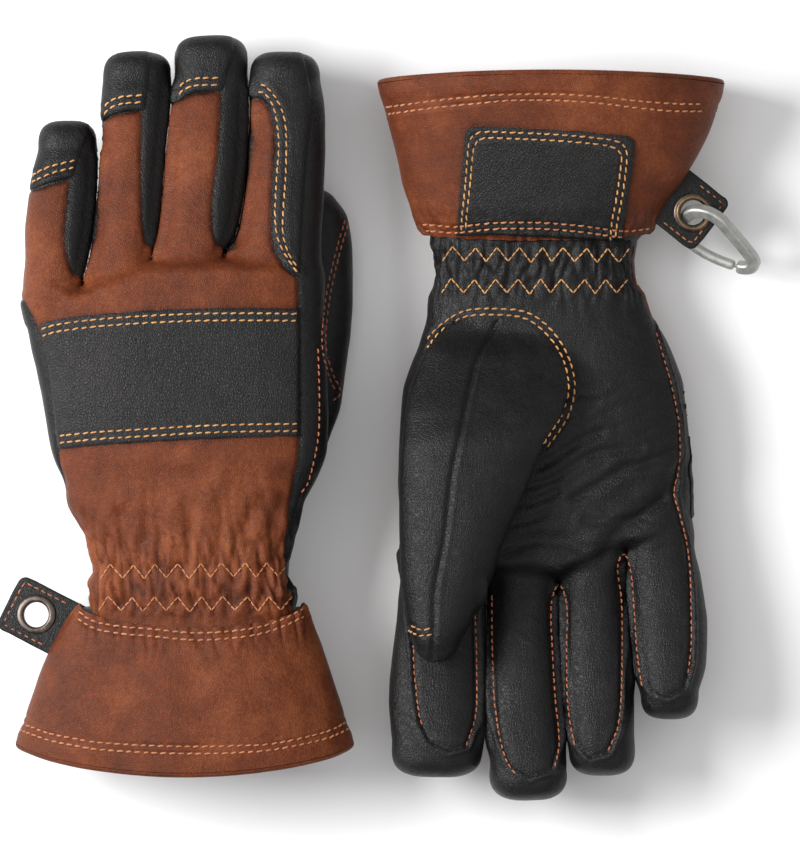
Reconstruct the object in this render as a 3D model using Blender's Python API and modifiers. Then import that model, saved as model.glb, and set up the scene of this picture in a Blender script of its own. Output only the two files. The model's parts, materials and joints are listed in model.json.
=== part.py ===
"""A pair of five-finger leather ski gloves with gauntlet cuffs, hang tabs and a carabiner.

Both gloves lie flat, the left one back up with its fingers towards +Y, the right one palm up
with its fingers towards -Y. Each leather piece is a thin closed solid, cut like its real pattern
piece, so the hand can still go in through the gauntlet's mouth. The carabiner hangs in the
eyelet of the right glove's tab.

Sizes are in millimetres. Each glove has its own hand frame: x towards the thumb, y towards the
fingertips from the gauntlet seam, z towards the back of the hand. Meshes are in metres.
"""
import math
from collections import namedtuple

import bmesh
import bpy
import numpy as np
from mathutils import Matrix, Vector
from mathutils.geometry import delaunay_2d_cdt

# ---------------------------------------------------------------- leather and cloth
LEATHER = 1.4                # shell leather with its backing
WALL_T = LEATHER - 0.2       # side walls and fourchettes
STRAP_T = 1.3
PATCH_T = STRAP_T - 0.3
LINING_T = 1.0
ELASTIC_T = 1.0
STRAP_LIFT = 1.7             # knuckle strap above the back panel's surface
PATCH_LIFT = 1.6             # patch outside the gauntlet's surface
SHELL_MESH = 10.5            # point spacing of the panels and the strap
PATCH_MESH = 12.0

# ---------------------------------------------------------------- hand and fingers
FINGERS = ("index", "middle", "ring", "pinky")
BEND_GAP = 0.8               # gap on each side of a finger's bend
FLEX_SLOPE = math.tan(math.radians(32))  # half of the notch that lets a finger fold
HAND_Z_WRIST = (-18.0, 14.0)             # palm and back z
HAND_Z_KNUCKLES = (-19.0, 19.0)
THUMB_PALM_Z = (-31.0, -44.0)            # from its root to its swollen part
THUMB_BACK_Z = -20.6
THUMB_SWING_Y, THUMB_SWING_Z = 62.0, -30.0
PANEL_START_Y = 28.0         # the panels and side walls start at the wrist
WRIST_AXIS = (3.0, 13.0, -2.0)
GATHER_Y = (3.2, 26.5)
TIP_SEAM = math.radians(28)  # seam of the fingertip's two pieces, above its mid plane

# ---------------------------------------------------------------- hang tab and eyelet
TAB_T = 2.0                  # two layers
TAB_CORNER_R = 4.5
BORE_R = 5.0
FLANGE_R = 7.9
TAB_HOLE_R = BORE_R + 1.1

# ---------------------------------------------------------------- pattern tables (hand frame)
# origin:    the hand frame's origin in the world; facing: 1 with the back up, -1 palm up
# hand:      y, x low, x high
# fingers:   rows as for the hand; y of the tip; length of the tip's rounding; y of the bend
# crotches:  x, y
# gauntlet:  share of the way from seam to mouth, x low, x high
# seam_y, mouth_y: y at the sides, the back's centre and the palm's centre
# tab:       eyelet centre, direction in plan, downward tilt, length from the eyelet to the free
#            end and to the root, half width
LEFT = {
    "side": "left",
    "facing": 1.0,
    "origin": (-75.78, -80.60, 46.40),
    "hand": [(-0.8, -39.2, 43.2), (8.0, -39.2, 42.8), (14.0, -39.2, 40.8), (21.2, -38.0, 39.6),
             (31.6, -40.8, 40.8), (38.4, -44.0, 43.6), (47.6, -48.8, 46.4),
             (62.0, -53.6, 52.8), (76.0, -56.0, 54.4), (96.0, -59.2, 54.4),
             (112.0, -63.2, 53.6), (128.0, -65.6, 52.8), (144.0, -65.6, 52.8)],
    "fingers": {
        "index": {"rows": [(128.0, 16.8, 52.8), (146.4, 14.4, 52.8), (154.0, 19.2, 52.8),
                           (168.0, 22.4, 53.2), (188.0, 24.0, 53.6), (204.0, 24.4, 53.6),
                           (216.0, 24.8, 52.8)],
                  "tip": 227.6, "rounding": 13, "bend": 184.0},
        "middle": {"rows": [(128.0, -15.2, 14.4), (145.2, -14.8, 13.2), (154.0, -12.4, 17.6),
                            (168.0, -10.4, 20.4), (188.0, -8.8, 22.0), (204.0, -7.6, 22.8),
                            (216.0, -6.4, 22.8)],
                   "tip": 233.6, "rounding": 13, "bend": 190.0},
        "ring": {"rows": [(128.0, -43.2, -15.2), (140.0, -40.8, -15.6), (152.0, -38.0, -13.6),
                          (168.0, -36.8, -11.6), (188.0, -36.8, -10.0), (204.0, -36.8, -8.4),
                          (216.0, -35.6, -8.0)],
                 "tip": 227.2, "rounding": 12, "bend": 184.0},
        "pinky": {"rows": [(128.0, -65.6, -42.4), (135.6, -65.6, -42.8), (144.0, -65.6, -41.2),
                           (154.0, -65.6, -39.6), (168.0, -64.4, -38.4), (180.0, -62.4, -37.6),
                           (188.0, -60.4, -37.6)],
                  "tip": 199.6, "rounding": 12, "bend": 166.4},
    },
    "crotches": {"index_middle": (14.0, 146.0), "middle_ring": (-15.2, 144.8),
                 "ring_pinky": (-42.8, 135.2)},
    "thumb": [(50.4, 32.0, 44.0), (60.0, 28.8, 51.2), (72.0, 27.2, 56.0), (86.0, 28.8, 60.4),
              (100.0, 28.8, 62.0), (116.0, 28.8, 64.0), (132.0, 30.4, 64.8),
              (148.0, 33.6, 64.8), (160.0, 37.6, 62.8), (168.0, 41.6, 60.0)],
    "thumb_tip": 172.8,
    "strap": [(-60.4, 117.6), (-47.6, 120.8), (-18.8, 122.8), (16.0, 124.4), (43.6, 124.4),
              (43.6, 99.2), (44.0, 74.4), (16.0, 73.6), (-18.8, 71.6), (-52.0, 69.6),
              (-55.2, 86.0), (-58.0, 102.0)],
    "gauntlet": [(0.0, -44.8, 46.4), (0.25, -53.2, 50.8), (0.5, -59.2, 55.6),
                 (0.75, -64.8, 60.8), (1.0, -69.2, 66.0)],
    "seam_y": (7.0, -1.0, 0.0),
    "mouth_y": (-47.0, -60.5, -56.0),
    "patch": [(-31.2, -5.6), (32.0, -5.6), (35.2, -43.2), (-34.4, -43.2)],
    "tab": {"eyelet": (-61.2, 2.2, -8.0), "along": (-0.893, 0.450), "tilt_deg": 8.0,
            "reach": 12.5, "root": 10.2, "half": 11.8},
}
RIGHT = {
    "side": "right",
    "facing": -1.0,
    "origin": (68.22, 73.40, 22.00),
    "hand": [(-0.8, -32.8, 47.6), (6.8, -33.6, 47.2), (14.0, -32.0, 45.6), (21.2, -36.4, 47.6),
             (32.4, -40.8, 48.8), (42.8, -46.8, 51.6), (64.0, -52.8, 56.8),
             (80.4, -55.2, 60.0), (97.2, -56.0, 60.4), (114.0, -55.6, 60.0),
             (128.0, -57.6, 59.6), (146.0, -58.8, 59.6)],
    "fingers": {
        "index": {"rows": [(126.0, 25.2, 59.6), (136.4, 25.6, 60.0), (154.0, 25.6, 61.6),
                           (166.0, 26.0, 63.2), (186.0, 26.4, 64.4), (202.0, 27.2, 63.6)],
                  "tip": 217.2, "rounding": 13, "bend": 176.4},
        "middle": {"rows": [(126.0, -2.8, 24.8), (139.2, -2.4, 24.4), (154.0, -2.4, 24.8),
                            (166.0, -3.2, 24.8), (186.0, -4.4, 24.8), (202.0, -6.0, 24.8),
                            (210.8, -6.8, 24.0)],
                   "tip": 226.4, "rounding": 13, "bend": 183.2},
        "ring": {"rows": [(122.0, -30.0, -3.6), (139.2, -28.8, -4.0), (154.0, -30.4, -4.4),
                          (166.0, -31.2, -4.8), (186.0, -33.2, -6.0), (198.0, -33.6, -7.2)],
                 "tip": 216.4, "rounding": 12, "bend": 173.2},
        "pinky": {"rows": [(118.0, -56.8, -30.8), (127.2, -57.6, -30.8), (136.4, -59.2, -31.6),
                           (154.4, -62.4, -32.8), (170.0, -62.0, -34.4), (182.0, -60.0, -36.0)],
                  "tip": 193.6, "rounding": 12, "bend": 160.4},
    },
    "crotches": {"index_middle": (25.2, 137.2), "middle_ring": (-3.2, 139.6),
                 "ring_pinky": (-30.0, 127.6)},
    "thumb": [(48.4, 12.0, 38.0), (58.4, -2.4, 52.8), (72.0, -1.2, 56.8), (84.4, 4.8, 58.8),
              (98.0, 9.6, 59.6), (120.8, 17.2, 59.2), (136.4, 22.8, 59.2),
              (151.2, 28.8, 58.4), (162.0, 33.6, 56.0)],
    "thumb_tip": 170.4,
    "strap": [(54.4, 112.8), (36.0, 115.2), (0.0, 117.2), (-36.0, 115.6), (-49.6, 112.8),
              (-49.6, 88.0), (-48.0, 62.8), (-36.0, 63.6), (0.0, 64.8), (36.0, 63.6),
              (52.0, 62.4), (54.4, 88.0)],
    "gauntlet": [(0.0, -40.8, 52.4), (0.25, -48.4, 57.2), (0.5, -57.6, 61.2),
                 (0.75, -64.8, 65.2), (1.0, -70.0, 68.8)],
    "seam_y": (0.0, 0.0, 0.5),
    "mouth_y": (-60.5, -64.0, -63.4),
    "patch": [(34.4, -42.8), (-33.2, -38.0), (-29.6, 0.4), (36.8, -1.2)],
    "tab": {"eyelet": (-57.2, -9.0, -6.6), "along": (-0.79, 0.613), "tilt_deg": 6.0,
            "reach": 9.6, "root": 8.4, "half": 12.6},
}

# ---------------------------------------------------------------- scene and materials
for old in list(bpy.data.objects):
    bpy.data.objects.remove(old, do_unlink=True)


def new_collection(name):
    collection = bpy.data.collections.new(name)
    bpy.context.scene.collection.children.link(collection)
    return collection


def new_material(name, color, roughness, metallic=0.0):
    mat = bpy.data.materials.new(name)
    mat.use_nodes = True
    inputs = mat.node_tree.nodes["Principled BSDF"].inputs
    inputs["Base Color"].default_value = (*color, 1)
    inputs["Roughness"].default_value = roughness
    inputs["Metallic"].default_value = metallic
    return mat


glove_col = new_collection("ski_gloves")
cutter_col = new_collection("cutters")
MATERIALS = {name: new_material(name, **look) for name, look in {
    "tan_leather": dict(color=(0.26, 0.085, 0.035), roughness=0.5),
    "black_leather": dict(color=(0.022, 0.022, 0.024), roughness=0.5),
    "elastic": dict(color=(0.05, 0.05, 0.05), roughness=0.85),
    "lining": dict(color=(0.07, 0.06, 0.055), roughness=0.95),
    "eyelet_metal": dict(color=(0.09, 0.07, 0.06), roughness=0.35, metallic=1.0),
    "aluminium": dict(color=(0.72, 0.71, 0.68), roughness=0.35, metallic=1.0),
    "spring_steel": dict(color=(0.5, 0.5, 0.5), roughness=0.3, metallic=1.0),
}.items()}


# ---------------------------------------------------------------- curves and sections
def mix(start, end, share):
    return start + share * (end - start)


def smooth(share):
    share = min(max(share, 0.0), 1.0)
    return share * share * (3 - 2 * share)


def monotone(xs, ys, x):
    """Monotone cubic through (xs, ys), held level past its ends."""
    width = np.diff(xs)
    slope = np.diff(ys) / width
    tangent = np.zeros(len(xs))
    for k in range(1, len(xs) - 1):
        if slope[k - 1] * slope[k] > 0:
            before = 2 * width[k] + width[k - 1]
            after = width[k] + 2 * width[k - 1]
            tangent[k] = (before + after) / (before / slope[k - 1] + after / slope[k])
    tangent[0], tangent[-1] = slope[0], slope[-1]
    x = min(max(x, xs[0]), xs[-1])
    i = min(int(np.searchsorted(xs, x, side="right")) - 1, len(width) - 1)
    t = (x - xs[i]) / width[i]
    return float(
        (2 * t**3 - 3 * t**2 + 1) * ys[i]
        + (t**3 - 2 * t**2 + t) * width[i] * tangent[i]
        + (-2 * t**3 + 3 * t**2) * ys[i + 1]
        + (t**3 - t**2) * width[i] * tangent[i + 1]
    )


def superellipse(angle, power):
    """Point of the unit superellipse in the direction of angle."""
    cos, sin = math.cos(angle), math.sin(angle)
    radius = (abs(cos) ** power + abs(sin) ** power) ** (-1 / power)
    return radius * cos, radius * sin


Section = namedtuple("Section", "x_mid x_half z_mid z_half")


class Tube:
    """A tube along y through rows of (y, x low, x high, z low, z high), with a rounded tip."""

    TIP_POWER = 2.2

    def __init__(self, rows, power, tip=None, rounding=None):
        self.rows = np.array(rows, float)
        self.power, self.tip, self.rounding = power, tip, rounding

    def at(self, y):
        x_low, x_high, z_low, z_high = (monotone(self.rows[:, 0], self.rows[:, k], y)
                                        for k in range(1, 5))
        scale = 1.0
        if self.tip is not None:
            share = min(max((y - (self.tip - self.rounding)) / self.rounding, 0.0), 1.0)
            scale = max(1 - share**self.TIP_POWER, 0.0) ** (1 / self.TIP_POWER)
        return Section((x_low + x_high) / 2, (x_high - x_low) / 2 * scale,
                       (z_low + z_high) / 2, (z_high - z_low) / 2 * scale)

    def point(self, y, angle):
        """The surface point at y and an angle counted from +x towards +z."""
        section = self.at(y)
        across, up = superellipse(angle, self.power)
        return section.x_mid + section.x_half * across, y, section.z_mid + section.z_half * up

    def dome(self, x, y, side, widest):
        """z over (x, y), on the back (side 1) or palm (-1), level past widest of the half width."""
        section = self.at(y)
        share = min(abs(x - section.x_mid) / section.x_half, widest)
        return section.z_mid + side * section.z_half * (1 - share**self.power) ** (1 / self.power)


class Glove:
    """One glove's pattern table, turned into surfaces in its hand frame."""

    CUFF_POWER = 2.15

    def __init__(self, table):
        self.table, self.facing = table, table["facing"]
        self.prefix = table["side"] + "_"
        self.crotches = table["crotches"]
        self.bends = {name: table["fingers"][name]["bend"] for name in FINGERS}
        self.side_end_y = table["hand"][-2][0]   # where the hand's side walls meet the fingers
        self.cuff_rows = np.array(table["gauntlet"], float)
        self.hand = self.make_hand()
        self.fingers = {name: self.make_finger(**table["fingers"][name]) for name in FINGERS}
        self.thumb = self.make_thumb()

    def make_hand(self):
        rows = []
        for y, x_low, x_high in self.table["hand"]:
            swell = smooth((y - 12) / 60)
            rows.append((y, x_low, x_high, mix(HAND_Z_WRIST[0], HAND_Z_KNUCKLES[0], swell),
                         mix(HAND_Z_WRIST[1], HAND_Z_KNUCKLES[1], swell)))
        return Tube(rows, power=2.6)

    @staticmethod
    def make_finger(rows, tip, rounding, bend):
        """A finger that droops towards the palm and thins towards its tip."""
        base, full = rows[0][0], []
        for y, x_low, x_high in rows:
            share = (y - base) / (tip - base)
            z_mid, z_half = -1.0 - 15.0 * share**1.7, 13.4 - 1.6 * share
            full.append((y, x_low, x_high, z_mid - z_half, z_mid + z_half))
        return Tube(full, 2.5, tip, rounding)

    def make_thumb(self):
        rows = [(y, x_low, x_high, mix(*THUMB_PALM_Z, smooth((y - 45) / 45)), THUMB_BACK_Z)
                for y, x_low, x_high in self.table["thumb"]]
        return Tube(rows, 2.4, self.table["thumb_tip"], 11)

    def world(self, point):
        """A hand-frame point in mm, in world metres."""
        return Vector([start + self.facing * value
                       for start, value in zip(self.table["origin"], point)]) / 1000

    def surface(self, x, y, side):
        """z of the hand and finger roots over (x, y), on the back (1) or the palm (-1)."""

        def off_centre(name):
            section = self.fingers[name].at(y)
            return abs(x - section.x_mid) / section.x_half

        nearest = min(FINGERS, key=off_centre)
        crotch_ys = [crotch[1] for pair, crotch in self.crotches.items()
                     if nearest in pair.split("_")]
        crotch_y = sum(crotch_ys) / len(crotch_ys)
        share = smooth((y - (crotch_y - 24)) / 22)
        return mix(self.hand.dome(x, y, side, 0.97),
                   self.fingers[nearest].dome(x, y, side, 0.82), share)

    def cuff_span(self, share):
        """Middle and half width of the gauntlet at a share from seam to mouth."""
        x_low, x_high = (monotone(self.cuff_rows[:, 0], self.cuff_rows[:, k], share)
                         for k in (1, 2))
        return (x_low + x_high) / 2, (x_high - x_low) / 2

    def cuff_point(self, share, angle, grow=0.0):
        """Point of the gauntlet, moved out by grow."""
        x_mid, x_half = self.cuff_span(share)
        z_mid, z_half = -3.0 - 9.0 * share, 18.6 + 9.4 * share
        across, up = superellipse(angle, self.CUFF_POWER)
        sin = math.sin(angle)

        def edge_y(ys):
            return mix(ys[0], ys[1 if sin > 0 else 2], abs(sin) ** 1.6)

        y = mix(edge_y(self.table["seam_y"]), edge_y(self.table["mouth_y"]), share)
        return x_mid + (x_half + grow) * across, y, z_mid + (z_half + grow) * up

    def cuff_z(self, x, y, grow):
        """z of the gauntlet's palm half over (x, y), found by bisection along its length."""
        low, high = 0.0, 1.0
        for _ in range(30):
            share = (low + high) / 2
            x_mid, x_half = self.cuff_span(share)
            across = max(-0.95, min(0.95, (x - x_mid) / x_half))
            down = (1 - abs(across) ** self.CUFF_POWER) ** (1 / self.CUFF_POWER)
            angle = math.atan2(-down, across)
            if self.cuff_point(share, angle)[1] > y:
                low = share
            else:
                high = share
        return self.cuff_point(share, angle, grow)[2]


# ---------------------------------------------------------------- building blocks
def axes_matrix(x_axis, y_axis, z_axis):
    return Matrix((x_axis, y_axis, z_axis)).transposed().to_4x4()


def attach(name, data, mat, parent, frame):
    """An object of the given data, placed in the world and parented."""
    data.materials.append(MATERIALS[mat])
    ob = bpy.data.objects.new(name, data)
    glove_col.objects.link(ob)
    ob.parent = parent
    ob.matrix_world = frame
    bpy.context.view_layer.update()
    return ob


def add_empty(name, at, parent=None):
    ob = bpy.data.objects.new(name, None)
    ob.empty_display_size = 0.01
    glove_col.objects.link(ob)
    ob.parent = parent
    ob.location = at - parent.matrix_world.translation if parent else at
    bpy.context.view_layer.update()
    return ob


def shade(mesh):
    mesh.shade_smooth()
    mesh.set_sharp_from_angle(angle=math.radians(40))


def grid_faces(rows, columns, closed=False):
    """Quads of a grid of points, row by row."""
    faces = []
    for i in range(rows - 1):
        for j in range(columns if closed else columns - 1):
            k = (j + 1) % columns
            faces.append((i * columns + j, (i + 1) * columns + j,
                          (i + 1) * columns + k, i * columns + k))
    return faces


def oriented(points, faces, outward):
    """Faces turned so that their normals follow outward(centre) in the hand frame."""
    total = 0.0
    for face in faces:
        corners = [Vector(points[i]) for i in face]
        normal = (corners[1] - corners[0]).cross(corners[2] - corners[0])
        total += normal.dot(Vector(outward(sum(corners, Vector()) / len(corners))))
    return faces if total > 0 else [tuple(reversed(face)) for face in faces]


def add_piece(glove, name, points, faces, outward, mat, parent, thickness, offset=-1.0):
    """A leather piece: a hand-frame sheet made solid inwards (offset -1) or outwards (1)."""
    name = glove.prefix + name
    bm = bmesh.new()
    base = parent.matrix_world.translation
    verts = [bm.verts.new(glove.world(point) - base) for point in points]
    for face in oriented(points, faces, outward):
        bm.faces.new([verts[i] for i in face])
    bmesh.ops.remove_doubles(bm, verts=bm.verts, dist=1e-6)
    if glove.facing < 0:
        # this hand frame is mirrored in the world, which turns the faces inside out
        bmesh.ops.reverse_faces(bm, faces=bm.faces)
    mesh = bpy.data.meshes.new(name)
    bm.to_mesh(mesh)
    bm.free()
    mesh.materials.append(MATERIALS[mat])
    shade(mesh)
    ob = bpy.data.objects.new(name, mesh)
    glove_col.objects.link(ob)
    ob.parent = parent
    solidify = ob.modifiers.new("leather", "SOLIDIFY")
    solidify.thickness = thickness / 1000
    solidify.offset = offset


def edges(loop):
    return zip(loop, loop[1:] + loop[:1])


def is_inside(loop, x, y):
    inside = False
    for a, b in edges(loop):
        if (a.y > y) != (b.y > y) and x < (b.x - a.x) * (y - a.y) / (b.y - a.y) + a.x:
            inside = not inside
    return inside


def edge_distance(loop, point):
    distances = []
    for a, b in edges(loop):
        edge = b - a
        share = max(0.0, min(1.0, (point - a).dot(edge) / edge.length_squared))
        distances.append((point - a - edge * share).length)
    return min(distances)


def add_sheet(glove, name, outline, height, mat, parent, thickness, step, side=1, offset=-1.0):
    """A flat pattern outline, filled on a staggered grid and draped over height(x, y)."""
    border = []
    for a, b in edges([Vector(point) for point in outline]):
        count = max(1, round((b - a).length / (step * 1.15)))
        border += [a.lerp(b, k / count) for k in range(count)]
    xs = [point.x for point in border]
    ys = [point.y for point in border]
    inner = []
    y, row = min(ys) + step * 0.6, 0
    while y < max(ys):
        x = min(xs) + (step * 0.5 if row % 2 else step)
        while x < max(xs):
            if is_inside(border, x, y) and edge_distance(border, Vector((x, y))) > step * 0.45:
                inner.append(Vector((x, y)))
            x += step
        y += step * 0.87
        row += 1
    # output type 1 keeps only the triangles inside the border
    flat, _, faces, *_ = delaunay_2d_cdt(border + inner, [], [list(range(len(border)))], 1, 1e-5)
    points = [(point.x, point.y, height(point.x, point.y)) for point in flat]
    add_piece(glove, name, points, [tuple(face) for face in faces], lambda c: (0, 0, side),
              mat, parent, thickness, offset)


def add_ribbon(glove, name, path, outward, parent):
    """A wall that stands on a path: rows of (x, y, z low, z high, y shift at low, at high)."""
    points = []
    for x, y, z_low, z_high, shift_low, shift_high in path:
        points += [(x, y + shift_low, z_low),
                   (x, y + (shift_low + shift_high) / 2, (z_low + z_high) / 2),
                   (x, y + shift_high, z_high)]
    add_piece(glove, name, points, grid_faces(len(path), 3), outward, "black_leather", parent,
              WALL_T)


def add_half_shell(glove, name, tube, y_range, angles, counts, mat, parent, lift,
                   start=lambda angle: 0.0, ease=0.0):
    """Part of a tube between two angles, raised by lift to clear its other half.

    start(angle) moves its first edge along y, and ease crowds its rows towards the end.
    """
    (y_start, y_end), (rows, columns) = y_range, counts
    points = []
    for i in range(rows):
        share = i / (rows - 1)
        share = mix(share, math.sin(share * math.pi / 2), ease)
        for j in range(columns):
            angle = mix(*angles, j / (columns - 1))
            x, y, z = tube.point(mix(y_start + start(angle), y_end, share), angle)
            points.append((x, y, z + lift))

    def outward(centre):
        section = tube.at(min(centre.y, y_end - 1.0))
        return centre.x - section.x_mid, 0.0, centre.z - section.z_mid

    add_piece(glove, name, points, grid_faces(rows, columns), outward, mat, parent, LEATHER)


def add_inner_tube(glove, name, ys, count, power, inset_x, inset_z, mat, parent, thickness):
    """An open tube inside the hand."""
    points = []
    for y in ys:
        section = glove.hand.at(y)
        for j in range(count):
            across, up = superellipse(2 * math.pi * j / count, power)
            points.append((section.x_mid + (section.x_half - inset_x) * across, float(y),
                           section.z_mid + (section.z_half - inset_z) * up))
    add_piece(glove, name, points, grid_faces(len(ys), count, closed=True),
              lambda c: (c.x, 0, c.z), mat, parent, thickness)


# ---------------------------------------------------------------- hand panels and walls
def panel_outline(glove, width_share, notch):
    """Outline from the wrist to the finger bends, with four prongs.

    notch is the share of the finger's half height that the fold's notch takes at the bend.
    """
    low_side, high_side = [], []
    for y in np.linspace(PANEL_START_Y, glove.side_end_y, 5):
        section = glove.hand.at(y)
        reach = width_share * section.x_half
        low_side.append((section.x_mid - reach, float(y)))
        high_side.append((section.x_mid + reach, float(y)))
    prongs = []
    for name in reversed(FINGERS):
        finger, bend_y = glove.fingers[name], glove.bends[name]
        end_y = bend_y - BEND_GAP - notch * FLEX_SLOPE * finger.at(bend_y).z_half
        section = finger.at(end_y)
        reach = 0.76 * section.x_half
        prongs += [(section.x_mid - reach, end_y), (section.x_mid + reach, end_y)]
        for pair, (x, y) in glove.crotches.items():
            if pair.startswith(FINGERS[FINGERS.index(name) - 1] + "_") and pair.endswith(name):
                prongs.append((x, y - 3.2))
    return low_side + prongs + high_side[::-1]


def wall_row(x, y, section, at_bend=False):
    """Ribbon row on a finger's side, cut back below the mid plane at the bend."""
    half = 0.47 * section.z_half
    shift_low = -BEND_GAP - FLEX_SLOPE * half if at_bend else 0.0
    shift_high = -BEND_GAP if at_bend else 0.0
    return x, y, section.z_mid - half, section.z_mid + half, shift_low, shift_high


def add_fourchette(glove, pair, parent):
    """A U of leather round a crotch, up the sides of both fingers."""
    x, y = glove.crotches[pair]
    thumb_side, pinky_side = pair.split("_")
    legs = []
    for name, edge in ((pinky_side, 1), (thumb_side, -1)):
        finger, leg = glove.fingers[name], []
        for share in (0.0, 0.45, 0.85):
            wall_y = mix(glove.bends[name], y + 1.5, share)
            section = finger.at(wall_y)
            wall_x = section.x_mid + edge * (section.x_half - 0.2)
            if share == 0.85:
                # keeps the two legs apart near the crotch
                wall_x = edge * min(edge * wall_x, edge * x - 1.0)
            leg.append(wall_row(wall_x, wall_y, section, at_bend=share == 0.0))
        leg.append(wall_row(x - 0.8 * edge, y - 1.2, finger.at(y)))
        legs.append(leg)
    add_ribbon(glove, "fourchette_" + pair, legs[0] + legs[1][::-1],
               lambda c: (x - c.x, y + 12 - c.y, 0), parent)


def add_side_panel(glove, name, edge, parent):
    """A wall from the wrist along the hand's edge to the bend of the outermost finger."""
    finger, path = glove.fingers[name], []
    for y in np.linspace(PANEL_START_Y, glove.side_end_y, 6):
        hand = glove.hand.at(y)
        path.append((hand.x_mid + edge * hand.x_half, float(y),
                     hand.z_mid - 0.52 * hand.z_half, hand.z_mid + 0.48 * hand.z_half, 0, 0))
    for share in (0.5, 1.0):
        y = mix(glove.side_end_y, glove.bends[name], share)
        section = finger.at(y)
        path.append(wall_row(section.x_mid + edge * section.x_half, y, section,
                             at_bend=share == 1.0))
    add_ribbon(glove, name + "_side_panel", path, lambda c: (edge, 0, 0), parent)


def add_hand(glove, wrist):
    add_sheet(glove, "back_panel", panel_outline(glove, 0.86, 0.0),
              lambda x, y: glove.surface(x, y, 1), "tan_leather", wrist, LEATHER, SHELL_MESH)
    add_sheet(glove, "palm_panel", panel_outline(glove, 0.84, 1.0),
              lambda x, y: glove.surface(x, y, -1), "black_leather", wrist, LEATHER,
              SHELL_MESH, side=-1)
    for pair in glove.crotches:
        add_fourchette(glove, pair, wrist)
    add_side_panel(glove, "index", 1, wrist)
    add_side_panel(glove, "pinky", -1, wrist)
    add_sheet(glove, "knuckle_strap", glove.table["strap"],
              lambda x, y: glove.surface(x, y, 1) + STRAP_LIFT, "black_leather", wrist,
              STRAP_T, SHELL_MESH, offset=1.0)
    lining_end = min(y for _, y in glove.crotches.values()) - 16
    add_inner_tube(glove, "hand_lining", np.linspace(30.0, lining_end, 5), count=14, power=2.4,
                   inset_x=5.0, inset_z=5.4, mat="lining", parent=wrist, thickness=LINING_T)


# ---------------------------------------------------------------- wrist and gauntlet
def add_wrist(glove, base):
    """A gathered wrist in a back half and a palm half, over a ring of elastic."""

    def seam_rise(angle):
        rise = max(0.0, glove.table["seam_y"][0] - 1.5)
        return rise * (1 - abs(math.sin(angle)) ** 1.6)

    for name, mat, start_deg, end_deg, lift in (
        ("wrist_gather_back", "tan_leather", 8, 172, 0.4),
        ("wrist_gather_palm", "black_leather", 188, 352, -0.4),
    ):
        add_half_shell(glove, name, glove.hand, GATHER_Y,
                       (math.radians(start_deg), math.radians(end_deg)), (4, 9), mat, base,
                       lift, seam_rise)
    add_inner_tube(glove, "wrist_elastic", (6.0, 20.0), count=16, power=2.0, inset_x=3.6,
                   inset_z=3.4, mat="elastic", parent=base, thickness=ELASTIC_T)


def add_gauntlet(glove, base):
    """A flared cuff, sewn from a back half and a palm half, with a patch on the palm half."""
    rows, columns = 5, 12
    for name, start_deg, end_deg, lift in (("gauntlet_back", 2, 178, 0.3),
                                           ("gauntlet_palm", 182, 358, -0.3)):
        points = []
        for i in range(rows):
            for j in range(columns):
                angle = math.radians(mix(start_deg, end_deg, j / (columns - 1)))
                x, y, z = glove.cuff_point(i / (rows - 1), angle)
                points.append((x, y, z + lift))
        add_piece(glove, name, points, grid_faces(rows, columns),
                  lambda c: (c.x, 0, c.z + 8), "tan_leather", base, LEATHER)
    add_sheet(glove, "gauntlet_patch", glove.table["patch"],
              lambda x, y: glove.cuff_z(x, y, PATCH_LIFT), "black_leather", base, PATCH_T,
              PATCH_MESH, side=-1, offset=1.0)


# ---------------------------------------------------------------- fingertips and thumb
def add_fingertip(glove, name, wrist):
    """Past the bend: a cap over the back, and the palm side with both side walls."""
    finger, bend_y = glove.fingers[name], glove.bends[name]
    section = finger.at(bend_y)
    axis = add_empty(glove.prefix + name + "_axis",
                     glove.world((section.x_mid, bend_y, section.z_mid)), wrist)

    def notch(angle):
        below = section.z_mid - finger.point(bend_y, angle)[2]
        return BEND_GAP + FLEX_SLOPE * max(0.0, below)

    add_half_shell(glove, name + "_tip_cap", finger, (bend_y, finger.tip - 0.02),
                   (TIP_SEAM, math.pi - TIP_SEAM), (7, 7), "black_leather", axis, 0.5,
                   notch, 0.8)
    add_half_shell(glove, name + "_tip_front", finger, (bend_y, finger.tip - 0.8),
                   (math.pi - TIP_SEAM, 2 * math.pi + TIP_SEAM), (6, 11), "black_leather",
                   axis, -0.5, notch, 0.8)


def add_thumb(glove, wrist):
    """Two panels that join in a seam along the thumb's length."""
    thumb = glove.thumb
    axis_point = (thumb.at(THUMB_SWING_Y).x_mid, THUMB_SWING_Y, THUMB_SWING_Z)
    axis = add_empty(glove.prefix + "thumb_axis", glove.world(axis_point), wrist)
    start_y = glove.table["thumb"][0][0] + 1.0
    for name, start_angle, lift, end_gap in (("thumb_back", 0.0, 0.04, 0.02),
                                             ("thumb_front", math.pi, -1.24, 0.5)):
        add_half_shell(glove, name, thumb, (start_y, thumb.tip - end_gap),
                       (start_angle, start_angle + math.pi), (9, 8), "black_leather", axis,
                       lift, ease=0.5)


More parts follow.
